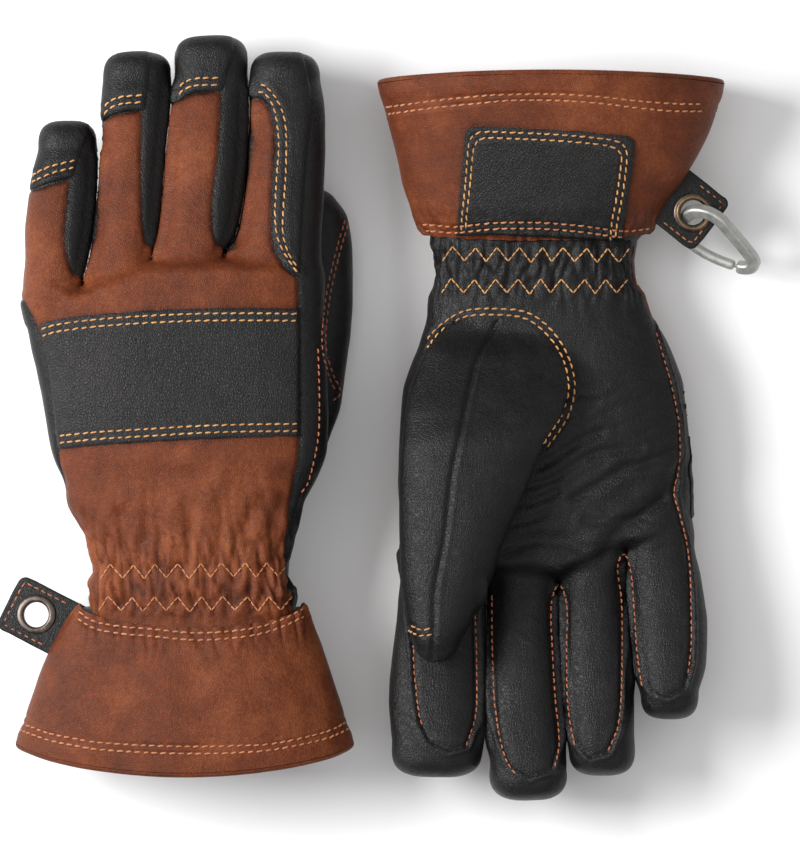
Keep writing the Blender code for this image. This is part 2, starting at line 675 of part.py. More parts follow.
# ---------------------------------------------------------------- hang tab and eyelet
def tab_curve(name, reach, root, half):
    """Flat tab in its own plane: square at the root, rounded at the free end, with a hole."""
    outer = [(-root, -half)]
    x = reach - TAB_CORNER_R
    for y, start_deg in ((TAB_CORNER_R - half, -90), (half - TAB_CORNER_R, 0)):
        for turn_deg in (0, 30, 60, 90):
            angle = math.radians(start_deg + turn_deg)
            outer.append((x + TAB_CORNER_R * math.cos(angle),
                          y + TAB_CORNER_R * math.sin(angle)))
    outer.append((-root, half))
    hole = [(TAB_HOLE_R * math.cos(2 * math.pi * k / 20),
             TAB_HOLE_R * math.sin(2 * math.pi * k / 20)) for k in range(20)]
    curve = bpy.data.curves.new(name, "CURVE")
    curve.dimensions, curve.fill_mode = "2D", "BOTH"
    curve.extrude = TAB_T / 2000
    for ring in (outer, hole):
        spline = curve.splines.new("POLY")
        spline.points.add(len(ring) - 1)
        for spline_point, (x, y) in zip(spline.points, ring):
            spline_point.co = (x / 1000, y / 1000, 0, 1)
        spline.use_cyclic_u = True
    return curve


def add_eyelet(name, parent, frame):
    """A flanged ring, turned about its axis from a closed profile."""
    face = TAB_T / 2 + 0.3   # z of the flanges' inner faces
    # radius, z
    profile = [(BORE_R, 0.0), (BORE_R, face - 0.1), (BORE_R + 0.6, face + 0.5),
               (BORE_R + 1.9, face + 0.5), (FLANGE_R, face + 0.3), (FLANGE_R, face),
               (BORE_R + 0.75, face), (BORE_R + 0.75, -face), (FLANGE_R, -face),
               (FLANGE_R, -face - 0.35), (BORE_R + 1.7, -face - 0.5),
               (BORE_R + 0.5, -face - 0.4), (BORE_R, -face + 0.2)]
    count = len(profile)
    mesh = bpy.data.meshes.new(name)
    mesh.from_pydata([(radius / 1000, 0, z / 1000) for radius, z in profile],
                     [(i, (i + 1) % count) for i in range(count)], [])
    ob = attach(name, mesh, "eyelet_metal", parent, frame)
    screw = ob.modifiers.new("turn", "SCREW")
    screw.steps = screw.render_steps = 24
    screw.use_merge_vertices = True
    screw.merge_threshold = 0.00001
    screw.use_normal_calculate = True


def add_hang_tab(glove, base):
    """The tab and its eyelet; returns the tab's axis and the eyelet's world frame."""
    tab = glove.table["tab"]
    flat = Vector((*tab["along"], 0)).normalized()
    across = Vector((-flat.y, flat.x, 0))
    tilt = math.radians(tab["tilt_deg"])
    along = flat * math.cos(tilt) - Vector((0, 0, 1)) * math.sin(tilt) * glove.facing
    along.normalize()
    hub = Vector(tab["eyelet"])
    axis = add_empty(glove.prefix + "tab_axis", glove.world(hub - along * tab["root"]), base)
    frame = Matrix.Translation(glove.world(hub)) @ axes_matrix(
        along * glove.facing, across * glove.facing, along.cross(across))
    name = glove.prefix + "hang_tab"
    attach(name, tab_curve(name, tab["reach"], tab["root"], tab["half"]), "black_leather",
           axis, frame)
    add_eyelet(glove.prefix + "eyelet", axis, frame)
    return axis, frame


def add_glove(table):
    glove = Glove(table)
    base = add_empty(glove.prefix + "gauntlet_body", glove.world((0, 0, 0)))
    wrist = add_empty(glove.prefix + "wrist_axis", glove.world(WRIST_AXIS), base)
    add_hand(glove, wrist)
    add_wrist(glove, base)
    add_gauntlet(glove, base)
    for name in FINGERS:
        add_fingertip(glove, name, wrist)
    add_thumb(glove, wrist)
    return add_hang_tab(glove, base)


# ---------------------------------------------------------------- carabiner
# A pear-shaped bar in its own plane: x runs from the eyelet to the narrow end, y towards the
# spine. Its wide end passes through the right eyelet, one arm above the tab and one below it.
BAR_R = 1.95
GATE_R = 1.8
HEADING = Vector((0.737, -0.676, 0.0))   # of the carabiner's length, in plan
LEAN = math.radians(17)                  # of its length below the horizontal
ROLL = math.radians(44)                  # of its plane about its length
SHIFT_BACK, SHIFT_ASIDE = 0.7, 0.6       # of its wide end from the eyelet's centre
HINGE = (28.6, -5.7)
NOSE = (11.3, -13.1)
HOOK = [(8.9, -12.8), (5.8, -11.4), (2.9, -8.2), (0.9, -4.2), (0.0, 0.0), (1.2, 3.8),
        (4.6, 6.9), (9.0, 8.2), (13.0, 7.9)]
NARROW_END = [(31.0, 4.9), (33.3, 3.4), (34.0, 1.0), (33.3, -1.4), (32.0, -3.0)]
GATE_BEND = [(24.0, -8.9), (18.4, -11.4), (14.0, -12.6)]
TONGUE_START, TONGUE_WIDTH, TONGUE_T = (32.4, -2.6), 2.4, 1.2
SLOT_START, SLOT_WIDTH, SLOT_T = (33.4, -2.0), 6.0, 1.8
DRILL_R, DRILL_LENGTH = 0.8, 8.0
PIN_R, PIN_LENGTH = 0.5, 3.0
BORE_START, SPRING_BORE_R, SPRING_BORE_LENGTH = 1.8, 0.95, 7.0   # start from the hinge
COIL_R, COIL_WIRE_R, COIL_RISE = 0.55, 0.16, 0.085               # rise per eighth of a turn
COIL_START = 1.4                                                 # from the bore's start
PLANE_NORMAL = Vector((0, 0, 1))
GATE_DIRECTION = Vector((NOSE[0] - HINGE[0], NOSE[1] - HINGE[1])).normalized()


def along_gate(distance):
    """Point at a distance from the hinge towards the nose."""
    return (HINGE[0] + distance * GATE_DIRECTION.x, HINGE[1] + distance * GATE_DIRECTION.y)


def carabiner_frame(eye):
    aside = Vector((-HEADING.y, HEADING.x, 0.0))
    rise = HEADING * math.sin(LEAN) + Vector((0, 0, math.cos(LEAN)))
    x_axis = (HEADING * math.cos(LEAN) - Vector((0, 0, math.sin(LEAN)))).normalized()
    y_axis = (aside * math.sin(ROLL) + rise * math.cos(ROLL)).normalized()
    shift = HEADING * (-SHIFT_BACK / 1000) - aside * (SHIFT_ASIDE / 1000)
    return (Matrix.Translation(eye + shift)
            @ axes_matrix(x_axis, y_axis, x_axis.cross(y_axis)))


def catmull_rom(points, count):
    """A Catmull-Rom curve through the points, with count steps between neighbours."""
    knots = [Vector((*point, 0)) for point in points]
    knots = [2 * knots[0] - knots[1]] + knots + [2 * knots[-1] - knots[-2]]
    curve = []
    for a, b, c, d in zip(knots, knots[1:], knots[2:], knots[3:]):
        for k in range(count):
            t = k / count
            curve.append(0.5 * (2 * b + (c - a) * t + (2 * a - 5 * b + 4 * c - d) * t * t
                                + (3 * b - a - 3 * c + d) * t**3))
    return curve + [knots[-2]]


def add_bar(name, path, radius, mat, parent, frame, resolution=2):
    """A round bar along a path of 2D or 3D points, as a closed mesh."""
    curve = bpy.data.curves.new(name, "CURVE")
    curve.dimensions = "3D"
    curve.bevel_depth = radius / 1000
    curve.bevel_resolution = resolution
    curve.use_fill_caps = True
    spline = curve.splines.new("POLY")
    spline.points.add(len(path) - 1)
    for spline_point, point in zip(spline.points, path):
        x, y, z = (*point, 0)[:3]
        spline_point.co = (x / 1000, y / 1000, z / 1000, 1)
    wire = bpy.data.objects.new(name + "_wire", curve)
    glove_col.objects.link(wire)
    bpy.context.view_layer.update()
    graph = bpy.context.evaluated_depsgraph_get()
    mesh = bpy.data.meshes.new_from_object(wire.evaluated_get(graph))
    bpy.data.objects.remove(wire, do_unlink=True)
    bm = bmesh.new()
    bm.from_mesh(mesh)
    bmesh.ops.remove_doubles(bm, verts=bm.verts, dist=1e-7)
    bmesh.ops.recalc_face_normals(bm, faces=bm.faces)
    bm.to_mesh(mesh)
    bm.free()
    mesh.name = name
    shade(mesh)
    return attach(name, mesh, mat, parent, frame)


def cylinder_mesh(name, radius, length, segments):
    bm = bmesh.new()
    bmesh.ops.create_cone(bm, cap_ends=True, segments=segments, radius1=radius / 1000,
                          radius2=radius / 1000, depth=length / 1000)
    mesh = bpy.data.meshes.new(name)
    bm.to_mesh(mesh)
    bm.free()
    return mesh


def add_cutter(name, mesh, frame):
    ob = bpy.data.objects.new(name, mesh)
    cutter_col.objects.link(ob)
    ob.matrix_world = frame
    ob.hide_render = True
    ob.display_type = "WIRE"
    return ob


def add_box_cutter(name, start, end, width, depth, plane):
    """A box from start to end in the carabiner's plane."""
    start, end = Vector((*start, 0)), Vector((*end, 0))
    x_axis = (end - start).normalized()
    size = Matrix.Diagonal(((end - start).length / 1000, width / 1000, depth / 1000, 1))
    bm = bmesh.new()
    bmesh.ops.create_cube(bm, size=1.0, matrix=size)
    mesh = bpy.data.meshes.new(name)
    bm.to_mesh(mesh)
    bm.free()
    turn = axes_matrix(x_axis, PLANE_NORMAL.cross(x_axis), PLANE_NORMAL)
    return add_cutter(name, mesh, plane @ Matrix.Translation((start + end) / 2000) @ turn)


def add_boolean(ob, other, operation):
    modifier = ob.modifiers.new(other.name, "BOOLEAN")
    modifier.operation = operation
    modifier.object = other


def add_hinge(body, gate, gate_axis, plane):
    """The body ends in a tongue that enters a slot in the gate, and one pin joins them."""
    tongue = add_box_cutter("tongue", TONGUE_START, along_gate(1.2), TONGUE_WIDTH, TONGUE_T,
                            plane)
    add_boolean(body, tongue, "UNION")
    slot = add_box_cutter("gate_slot", SLOT_START, along_gate(2.3), SLOT_WIDTH, SLOT_T, plane)
    add_boolean(gate, slot, "DIFFERENCE")
    frame = plane @ Matrix.Translation((HINGE[0] / 1000, HINGE[1] / 1000, 0))
    drill = add_cutter("pin_drill", cylinder_mesh("pin_drill", DRILL_R, DRILL_LENGTH, 16), frame)
    add_boolean(body, drill, "DIFFERENCE")
    add_boolean(gate, drill, "DIFFERENCE")
    name = "carabiner_gate_pin"
    attach(name, cylinder_mesh(name, PIN_R, PIN_LENGTH, 12), "spring_steel", gate_axis, frame)


def add_spring(gate, gate_axis, plane):
    """The closing spring, a coil in a bore along the gate."""
    direction = GATE_DIRECTION.to_3d()
    turn = axes_matrix(PLANE_NORMAL, direction.cross(PLANE_NORMAL), direction)
    start = Vector((*HINGE, 0)) + direction * BORE_START
    middle = start + direction * (SPRING_BORE_LENGTH / 2)
    bore = add_cutter("spring_bore",
                      cylinder_mesh("spring_bore", SPRING_BORE_R, SPRING_BORE_LENGTH, 14),
                      plane @ Matrix.Translation(middle / 1000) @ turn)
    add_boolean(gate, bore, "DIFFERENCE")
    coil = [(COIL_R * math.cos(2 * math.pi * k / 8), COIL_R * math.sin(2 * math.pi * k / 8),
             COIL_RISE * k) for k in range(57)]
    coil_start = start + direction * COIL_START
    add_bar("carabiner_gate_spring", coil, COIL_WIRE_R, "spring_steel", gate_axis,
            plane @ Matrix.Translation(coil_start / 1000) @ turn, resolution=0)


def add_carabiner(tab_axis, eyelet_frame):
    eye = eyelet_frame.translation.copy()
    plane = carabiner_frame(eye)
    axis = add_empty("carabiner_axis", eye, tab_axis)
    body = add_bar("carabiner_body", catmull_rom(HOOK, 2) + catmull_rom(NARROW_END, 2), BAR_R,
                   "aluminium", axis, plane)
    gate_axis = add_empty("carabiner_gate_axis",
                          plane @ Vector((HINGE[0] / 1000, HINGE[1] / 1000, 0)), axis)
    gate = add_bar("carabiner_gate", [along_gate(-1.25), *GATE_BEND, NOSE], GATE_R,
                   "aluminium", gate_axis, plane)
    add_hinge(body, gate, gate_axis, plane)
    add_spring(gate, gate_axis, plane)


add_glove(LEFT)
add_carabiner(*add_glove(RIGHT))
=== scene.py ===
"""The looks of a pair of leather ski gloves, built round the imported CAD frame.

Each glove is shaped in its own hand frame, in millimetres: x towards the thumb, y from the
gauntlet seam towards the fingertips, z towards the back of the hand. The left glove lies back up,
and the right one lies palm up, so its frame is turned through a point reflection.
"""
import json
import math
import time

import bmesh
import bpy
import numpy as np
import openvdb as vdb
from mathutils import Matrix, Vector, noise
from mathutils.bvhtree import BVHTree

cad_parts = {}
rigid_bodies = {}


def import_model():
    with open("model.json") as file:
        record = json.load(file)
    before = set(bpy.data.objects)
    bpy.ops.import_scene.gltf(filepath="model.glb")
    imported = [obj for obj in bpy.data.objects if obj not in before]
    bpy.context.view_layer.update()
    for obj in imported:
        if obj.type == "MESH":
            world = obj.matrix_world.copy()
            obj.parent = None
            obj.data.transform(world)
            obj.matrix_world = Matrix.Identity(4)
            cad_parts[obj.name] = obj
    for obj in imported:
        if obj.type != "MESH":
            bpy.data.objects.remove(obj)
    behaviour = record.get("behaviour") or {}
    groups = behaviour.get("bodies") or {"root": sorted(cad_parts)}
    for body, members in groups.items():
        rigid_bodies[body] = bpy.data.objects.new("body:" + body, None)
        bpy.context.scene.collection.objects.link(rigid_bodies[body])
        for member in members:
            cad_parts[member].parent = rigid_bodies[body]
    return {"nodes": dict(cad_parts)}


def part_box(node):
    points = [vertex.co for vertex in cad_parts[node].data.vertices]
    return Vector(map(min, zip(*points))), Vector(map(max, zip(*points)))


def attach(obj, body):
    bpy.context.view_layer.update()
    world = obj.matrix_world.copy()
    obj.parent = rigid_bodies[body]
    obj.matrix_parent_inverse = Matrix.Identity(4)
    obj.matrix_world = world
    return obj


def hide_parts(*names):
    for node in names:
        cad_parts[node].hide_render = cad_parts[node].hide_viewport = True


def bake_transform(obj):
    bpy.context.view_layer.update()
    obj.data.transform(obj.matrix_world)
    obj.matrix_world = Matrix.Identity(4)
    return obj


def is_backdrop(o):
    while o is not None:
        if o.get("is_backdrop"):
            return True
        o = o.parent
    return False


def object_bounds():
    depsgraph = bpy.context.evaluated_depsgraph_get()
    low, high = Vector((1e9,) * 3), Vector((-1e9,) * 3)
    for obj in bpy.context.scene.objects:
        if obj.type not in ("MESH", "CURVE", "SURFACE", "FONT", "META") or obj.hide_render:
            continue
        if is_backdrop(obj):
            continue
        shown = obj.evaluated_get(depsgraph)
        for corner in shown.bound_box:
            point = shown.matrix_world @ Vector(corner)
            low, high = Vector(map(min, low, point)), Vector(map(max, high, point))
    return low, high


T0 = time.time()
for ob in list(bpy.data.objects):
    bpy.data.objects.remove(ob, do_unlink=True)
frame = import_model()
cad_box = [[float(v) for v in p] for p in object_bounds()]
FINGERS = ("index", "middle", "ring", "pinky")
GRID = 0.4
VOXEL = 1.0


def log(*a):
    print("[%.1f s]" % (time.time() - T0), *a, flush=True)


# ------------------------------------------------------------------ curves and fields
def pchip(xs, ys, x):
    xs, ys, x = (np.asarray(a, float) for a in (xs, ys, x))
    h = np.diff(xs)
    d = np.diff(ys) / h
    m = np.zeros(len(xs))
    for k in range(1, len(xs) - 1):
        if d[k - 1] * d[k] > 0:
            w1, w2 = 2 * h[k] + h[k - 1], h[k] + 2 * h[k - 1]
            m[k] = (w1 + w2) / (w1 / d[k - 1] + w2 / d[k])
    m[0], m[-1] = d[0], d[-1]
    xx = np.clip(x, xs[0], xs[-1])
    i = np.clip(np.searchsorted(xs, xx, side="right") - 1, 0, len(h) - 1)
    t = (xx - xs[i]) / h[i]
    return ((2 * t**3 - 3 * t**2 + 1) * ys[i] + (t**3 - 2 * t**2 + t) * h[i] * m[i]
            + (-2 * t**3 + 3 * t**2) * ys[i + 1] + (t**3 - t**2) * h[i] * m[i + 1])


def sstep(a, b, x):
    t = np.clip((np.asarray(x, float) - a) / (b - a), 0.0, 1.0)
    return t * t * (3 - 2 * t)


def smin(a, b, k):
    h = np.clip(0.5 + 0.5 * (b - a) / k, 0, 1)
    return b + (a - b) * h - k * h * (1 - h)


def catmull(points, step, closed=False):
    """A smooth curve through the points, at about the given step."""
    p = np.asarray(points, float)
    if closed:
        p = np.vstack([p[-1], p, p[0], p[1]])
    else:
        p = np.vstack([2 * p[0] - p[1], p, 2 * p[-1] - p[-2]])
    out = []
    for i in range(1, len(p) - 2):
        a, b, c, d = p[i - 1], p[i], p[i + 1], p[i + 2]
        n = max(1, int(round(np.linalg.norm(c - b) / step)))
        t = (np.arange(n) / n)[:, None]
        out.append(0.5 * (2 * b + (c - a) * t + (2 * a - 5 * b + 4 * c - d) * t**2
                          + (3 * b - a - 3 * c + d) * t**3))
    q = np.vstack(out)
    return q if closed else np.vstack([q, p[-2]])


def poly_sdf(poly, x, y):
    """Signed distance to a closed plan polygon, positive inside."""
    poly = np.asarray(poly, float)
    x, y = np.asarray(x, float), np.asarray(y, float)
    best = np.full(x.shape, 1e18)
    inside = np.zeros(x.shape, bool)
    for a, b in zip(poly, np.roll(poly, -1, axis=0)):
        e = b - a
        L = max(float(e @ e), 1e-12)
        t = np.clip(((x - a[0]) * e[0] + (y - a[1]) * e[1]) / L, 0, 1)
        d = (x - a[0] - t * e[0]) ** 2 + (y - a[1] - t * e[1]) ** 2
        best = np.minimum(best, d)
        if a[1] != b[1]:
            c = ((a[1] > y) != (b[1] > y)) & (x < e[0] * (y - a[1]) / e[1] + a[0])
            inside ^= c
    return np.where(inside, 1.0, -1.0) * np.sqrt(best)


def line_dist(line, x, y):
    """Distance in plan to an open polyline."""
    line = np.asarray(line, float)
    best = np.full(np.shape(x), 1e18)
    for a, b in zip(line[:-1], line[1:]):
        e = b - a
        L = max(float(e @ e), 1e-12)
        t = np.clip(((x - a[0]) * e[0] + (y - a[1]) * e[1]) / L, 0, 1)
        best = np.minimum(best, (x - a[0] - t * e[0]) ** 2 + (y - a[1] - t * e[1]) ** 2)
    return np.sqrt(best)


def vnoise(P, scale, seed=0.0, octaves=1):
    """Smooth noise at points, about -1 to 1."""
    out = np.zeros(len(P))
    Q = np.asarray(P, float) / scale + seed
    for i, q in enumerate(Q.tolist()):
        out[i] = noise.noise(q) if octaves == 1 else noise.fractal(q, 1.0, 2.0, octaves)
    return out


class Tube:
    """A tube along y whose section is a superellipse, closed by a rounded tip."""

    def __init__(self, rows, tip, cap, p=2.5, q=2.3):
        self.t = np.array(sorted(rows), float)
        self.tip, self.cap, self.p, self.q = tip, cap, p, q
        self.ys = np.arange(self.t[0, 0] - 1, self.t[-1, 0] + 1.2, 0.2)
        self.tab = [pchip(self.t[:, 0], self.t[:, k], self.ys) for k in range(1, 5)]

    def at(self, y):
        y = np.asarray(y, float)
        v = [np.interp(y, self.ys, t) for t in self.tab]
        return (v[0] + v[1]) / 2, (v[1] - v[0]) / 2, (v[2] + v[3]) / 2, (v[3] - v[2]) / 2

    def field(self, x, y, z, tip=None):
        xc, hw, zc, ht = self.at(y)
        tip = self.tip if tip is None else tip
        p, q = self.p, self.q
        ax, az = np.abs(x - xc) / hw, np.abs(z - zc) / ht
        r2 = np.maximum((ax**p + az**p) ** (1 / p), 0.25)
        g2 = r2 ** (1 - p) * np.sqrt((ax ** (p - 1) / hw) ** 2 + (az ** (p - 1) / ht) ** 2)
        u = np.clip((y - (tip - self.cap)) / self.cap, 0, 2.5)
        r = (r2**q + u**q) ** (1 / q)
        g = np.sqrt((r ** (1 - q) * r2 ** (q - 1) * g2) ** 2
                    + (r ** (1 - q) * u ** (q - 1) / self.cap) ** 2)
        return np.clip((r - 1) / np.maximum(g, 0.02), -9, 9)


# ------------------------------------------------------------------ pattern tables (grid units)
LEFT = {
    "hand": [(640, 96, 290), (622, 94, 291), (600, 91, 297), (585, 92, 292), (567, 95, 289),
             (552, 92, 291), (541, 88, 293), (524, 80, 299), (501, 68, 305), (484, 65, 314),
             (465, 57, 322), (447, 51, 327), (415, 46, 329), (380, 40, 328), (340, 31, 326),
             (300, 25, 322), (260, 26, 322)],
    "fingers": {
        "index": {"rows": [(320, 232, 324), (286, 228, 323), (254, 226, 322), (235, 238, 322),
                           (200, 246, 324), (150, 250, 325), (110, 251, 325), (80, 250, 321)],
                  "tip": 52, "cap": 14, "bend": 160},
        "middle": {"rows": [(320, 152, 226), (286, 152, 224), (257, 153, 223), (235, 159, 234),
                            (200, 164, 241), (150, 168, 246), (110, 171, 248), (80, 174, 248)],
                   "tip": 36, "cap": 14, "bend": 145},
        "ring": {"rows": [(320, 78, 152), (290, 84, 151), (270, 88, 151), (240, 95, 156),
                          (200, 98, 161), (150, 100, 165), (110, 101, 170), (80, 103, 172)],
                 "tip": 52, "cap": 13, "bend": 160},
        "pinky": {"rows": [(330, 26, 84), (300, 25, 84), (281, 25, 83), (260, 26, 87),
                           (235, 25, 91), (200, 28, 96), (170, 34, 98), (150, 39, 98)],
                  "tip": 121, "cap": 13, "bend": 204},
    },
    "crotch": {"index_middle": (224, 255), "middle_ring": (152, 258), "ring_pinky": (82, 282)},
    "thumb": [(520, 262, 297), (505, 258, 300), (490, 256, 304), (470, 256, 318), (440, 256, 329),
              (405, 256, 341), (370, 258, 345), (330, 260, 350), (290, 264, 352), (250, 272, 352),
              (220, 282, 348), (200, 292, 341)],
    "thumb_tip": 188,
    "eyelet": (37, 614.5), "eyelet_z": -8.0,
    "gauntlet": [(0.0, 78, 306), (0.25, 57, 318), (0.5, 41, 330), (0.75, 27, 343), (1.0, 17, 355)],
    "seam_y": (7.4, -2.8, 0.0), "mouth_y": (-49.0, -60.4, -57.0),
    "strap": [(40, 325), (58, 320), (100, 315), (150, 311.5), (200, 309.5), (250, 309),
              (300, 309.5), (300.5, 340), (300.5, 380), (300.5, 436), (250, 437), (200, 439),
              (150, 442), (100, 445), (59, 449), (56, 425), (53, 395), (49, 365), (44, 342)],
    # tan leather over the back, clockwise from the little finger's cap
    "brown": [(10, 196), (29, 192), (48, 186), (71, 180), (69, 200), (67, 222), (66, 240),
              (69, 259), (74, 272), (81, 281), (88, 273), (94, 256), (99, 238), (101, 220),
              (101.5, 180), (101, 150), (102, 122), (113, 116), (127, 113), (143, 112),
              (142, 140), (142, 170), (143, 200), (144, 222), (147, 243), (152, 257),
              (157, 245), (161, 222), (163, 195), (166, 165), (171, 136), (172, 107), (182, 98),
              (197, 93), (222, 91), (221, 120), (219, 150), (216, 178), (213, 205), (214, 229),
              (218, 245), (223, 254), (230, 252), (237, 244), (243, 228), (248, 200), (252, 172),
              (255, 143), (253, 112), (254, 99), (262, 101), (269, 110), (274, 127), (275.5, 150),
              (273, 175), (271.5, 200), (271.5, 232), (275, 252), (284, 266), (298, 278),
              (300, 300), (300.5, 360), (300.5, 437), (299, 460), (294, 485), (290, 510),
              (288, 535), (287.5, 555), (289, 580), (295, 602), (295, 660), (60, 660), (60, 560),
              (60, 540), (58, 522), (54, 508), (51, 490), (50, 468), (58, 449), (53, 395),
              (44, 345), (34, 320), (24, 300), (14, 296)],
    "caps": {
        "pinky": [(10, 194), (29, 190), (48, 184), (73, 178), (77, 165), (84, 146), (91, 131),
                  (94, 110), (10, 100)],
        "ring": [(90, 122), (102, 121), (113, 115), (127, 112), (145, 111.5), (148, 90),
                 (150, 70), (151, 40), (90, 40)],
        "middle": [(171, 108), (182, 98), (197, 92.5), (223, 91), (227, 75), (233, 58),
                   (234, 30), (174, 24), (177, 60), (173, 85)],
        "index": [(251, 99), (254, 97), (262, 99), (270, 108), (275.5, 125), (277.5, 150),
                  (275, 176), (273.5, 200), (273.5, 232), (277, 251), (286, 265), (300, 277),
                  (301, 250), (302, 220), (305, 180), (307.5, 145), (311, 110), (311, 90),
                  (306, 66), (300, 40), (245, 40), (249, 70)],
    },
    "stitch_back": [
        ([(32, 177), (50, 168), (77, 161)], "gold"), ([(31, 184), (52, 174.5), (76, 168)], "gold"),
        ([(103, 111), (110, 103), (122, 98), (147, 96)], "gold"),
        ([(103, 118), (110, 110), (122, 105), (146, 103)], "gold"),
        ([(177, 92), (184, 84), (197, 79.5), (223, 79)], "gold"),
        ([(177, 99), (184, 91), (197, 86.5), (222, 86)], "gold"),
        ([(256, 85), (264, 86), (275, 97), (283, 113), (286.5, 132), (286.5, 170), (284, 210),
          (283.5, 234), (289, 254), (299, 270)], "gold"),
        ([(256, 92), (266, 95), (274, 108), (278, 126), (279.5, 150), (277, 185), (276, 220),
          (279, 241), (288, 259), (299, 275)], "gold"),
        ([(42, 330), (60, 325), (100, 320), (150, 316.5), (200, 314.5), (250, 314), (298, 314.5)],
         "gold"),
        ([(43, 337), (60, 332), (100, 327), (150, 323.5), (200, 321.5), (250, 321), (298, 321.5)],
         "gold"),
        ([(59, 436), (100, 432), (150, 429), (200, 426), (250, 424.5), (299, 424)], "gold"),
        ([(60, 443), (100, 439), (150, 436), (200, 433), (250, 431.5), (299, 431)], "gold"),
        ([(79, 610), (88, 617), (100, 622), (125, 626), (150, 628), (200, 632), (250, 628),
          (280, 620), (303, 609)], "tan"),
        ([(76, 616), (88, 624), (100, 629), (125, 633), (150, 635), (200, 639), (250, 635),
          (280, 627), (306, 615)], "tan"),
        ([(20, 722), (50, 732), (75, 737), (100, 741), (150, 744), (200, 745), (240, 744),
          (275, 742), (325, 731), (349, 720)], "tan"),
        ([(19, 729), (50, 739), (75, 744), (100, 748), (150, 751), (200, 752), (240, 751),
          (275, 748), (325, 738), (351, 727)], "tan"),
    ],
    "zigzag_back": [((101, 571), (290, 569)), ((99, 603), (293, 603))],
    "patch": [(112, 634), (190, 632), (270, 634), (276, 680), (278, 726), (190, 730), (104, 726),
              (107, 680)],
}
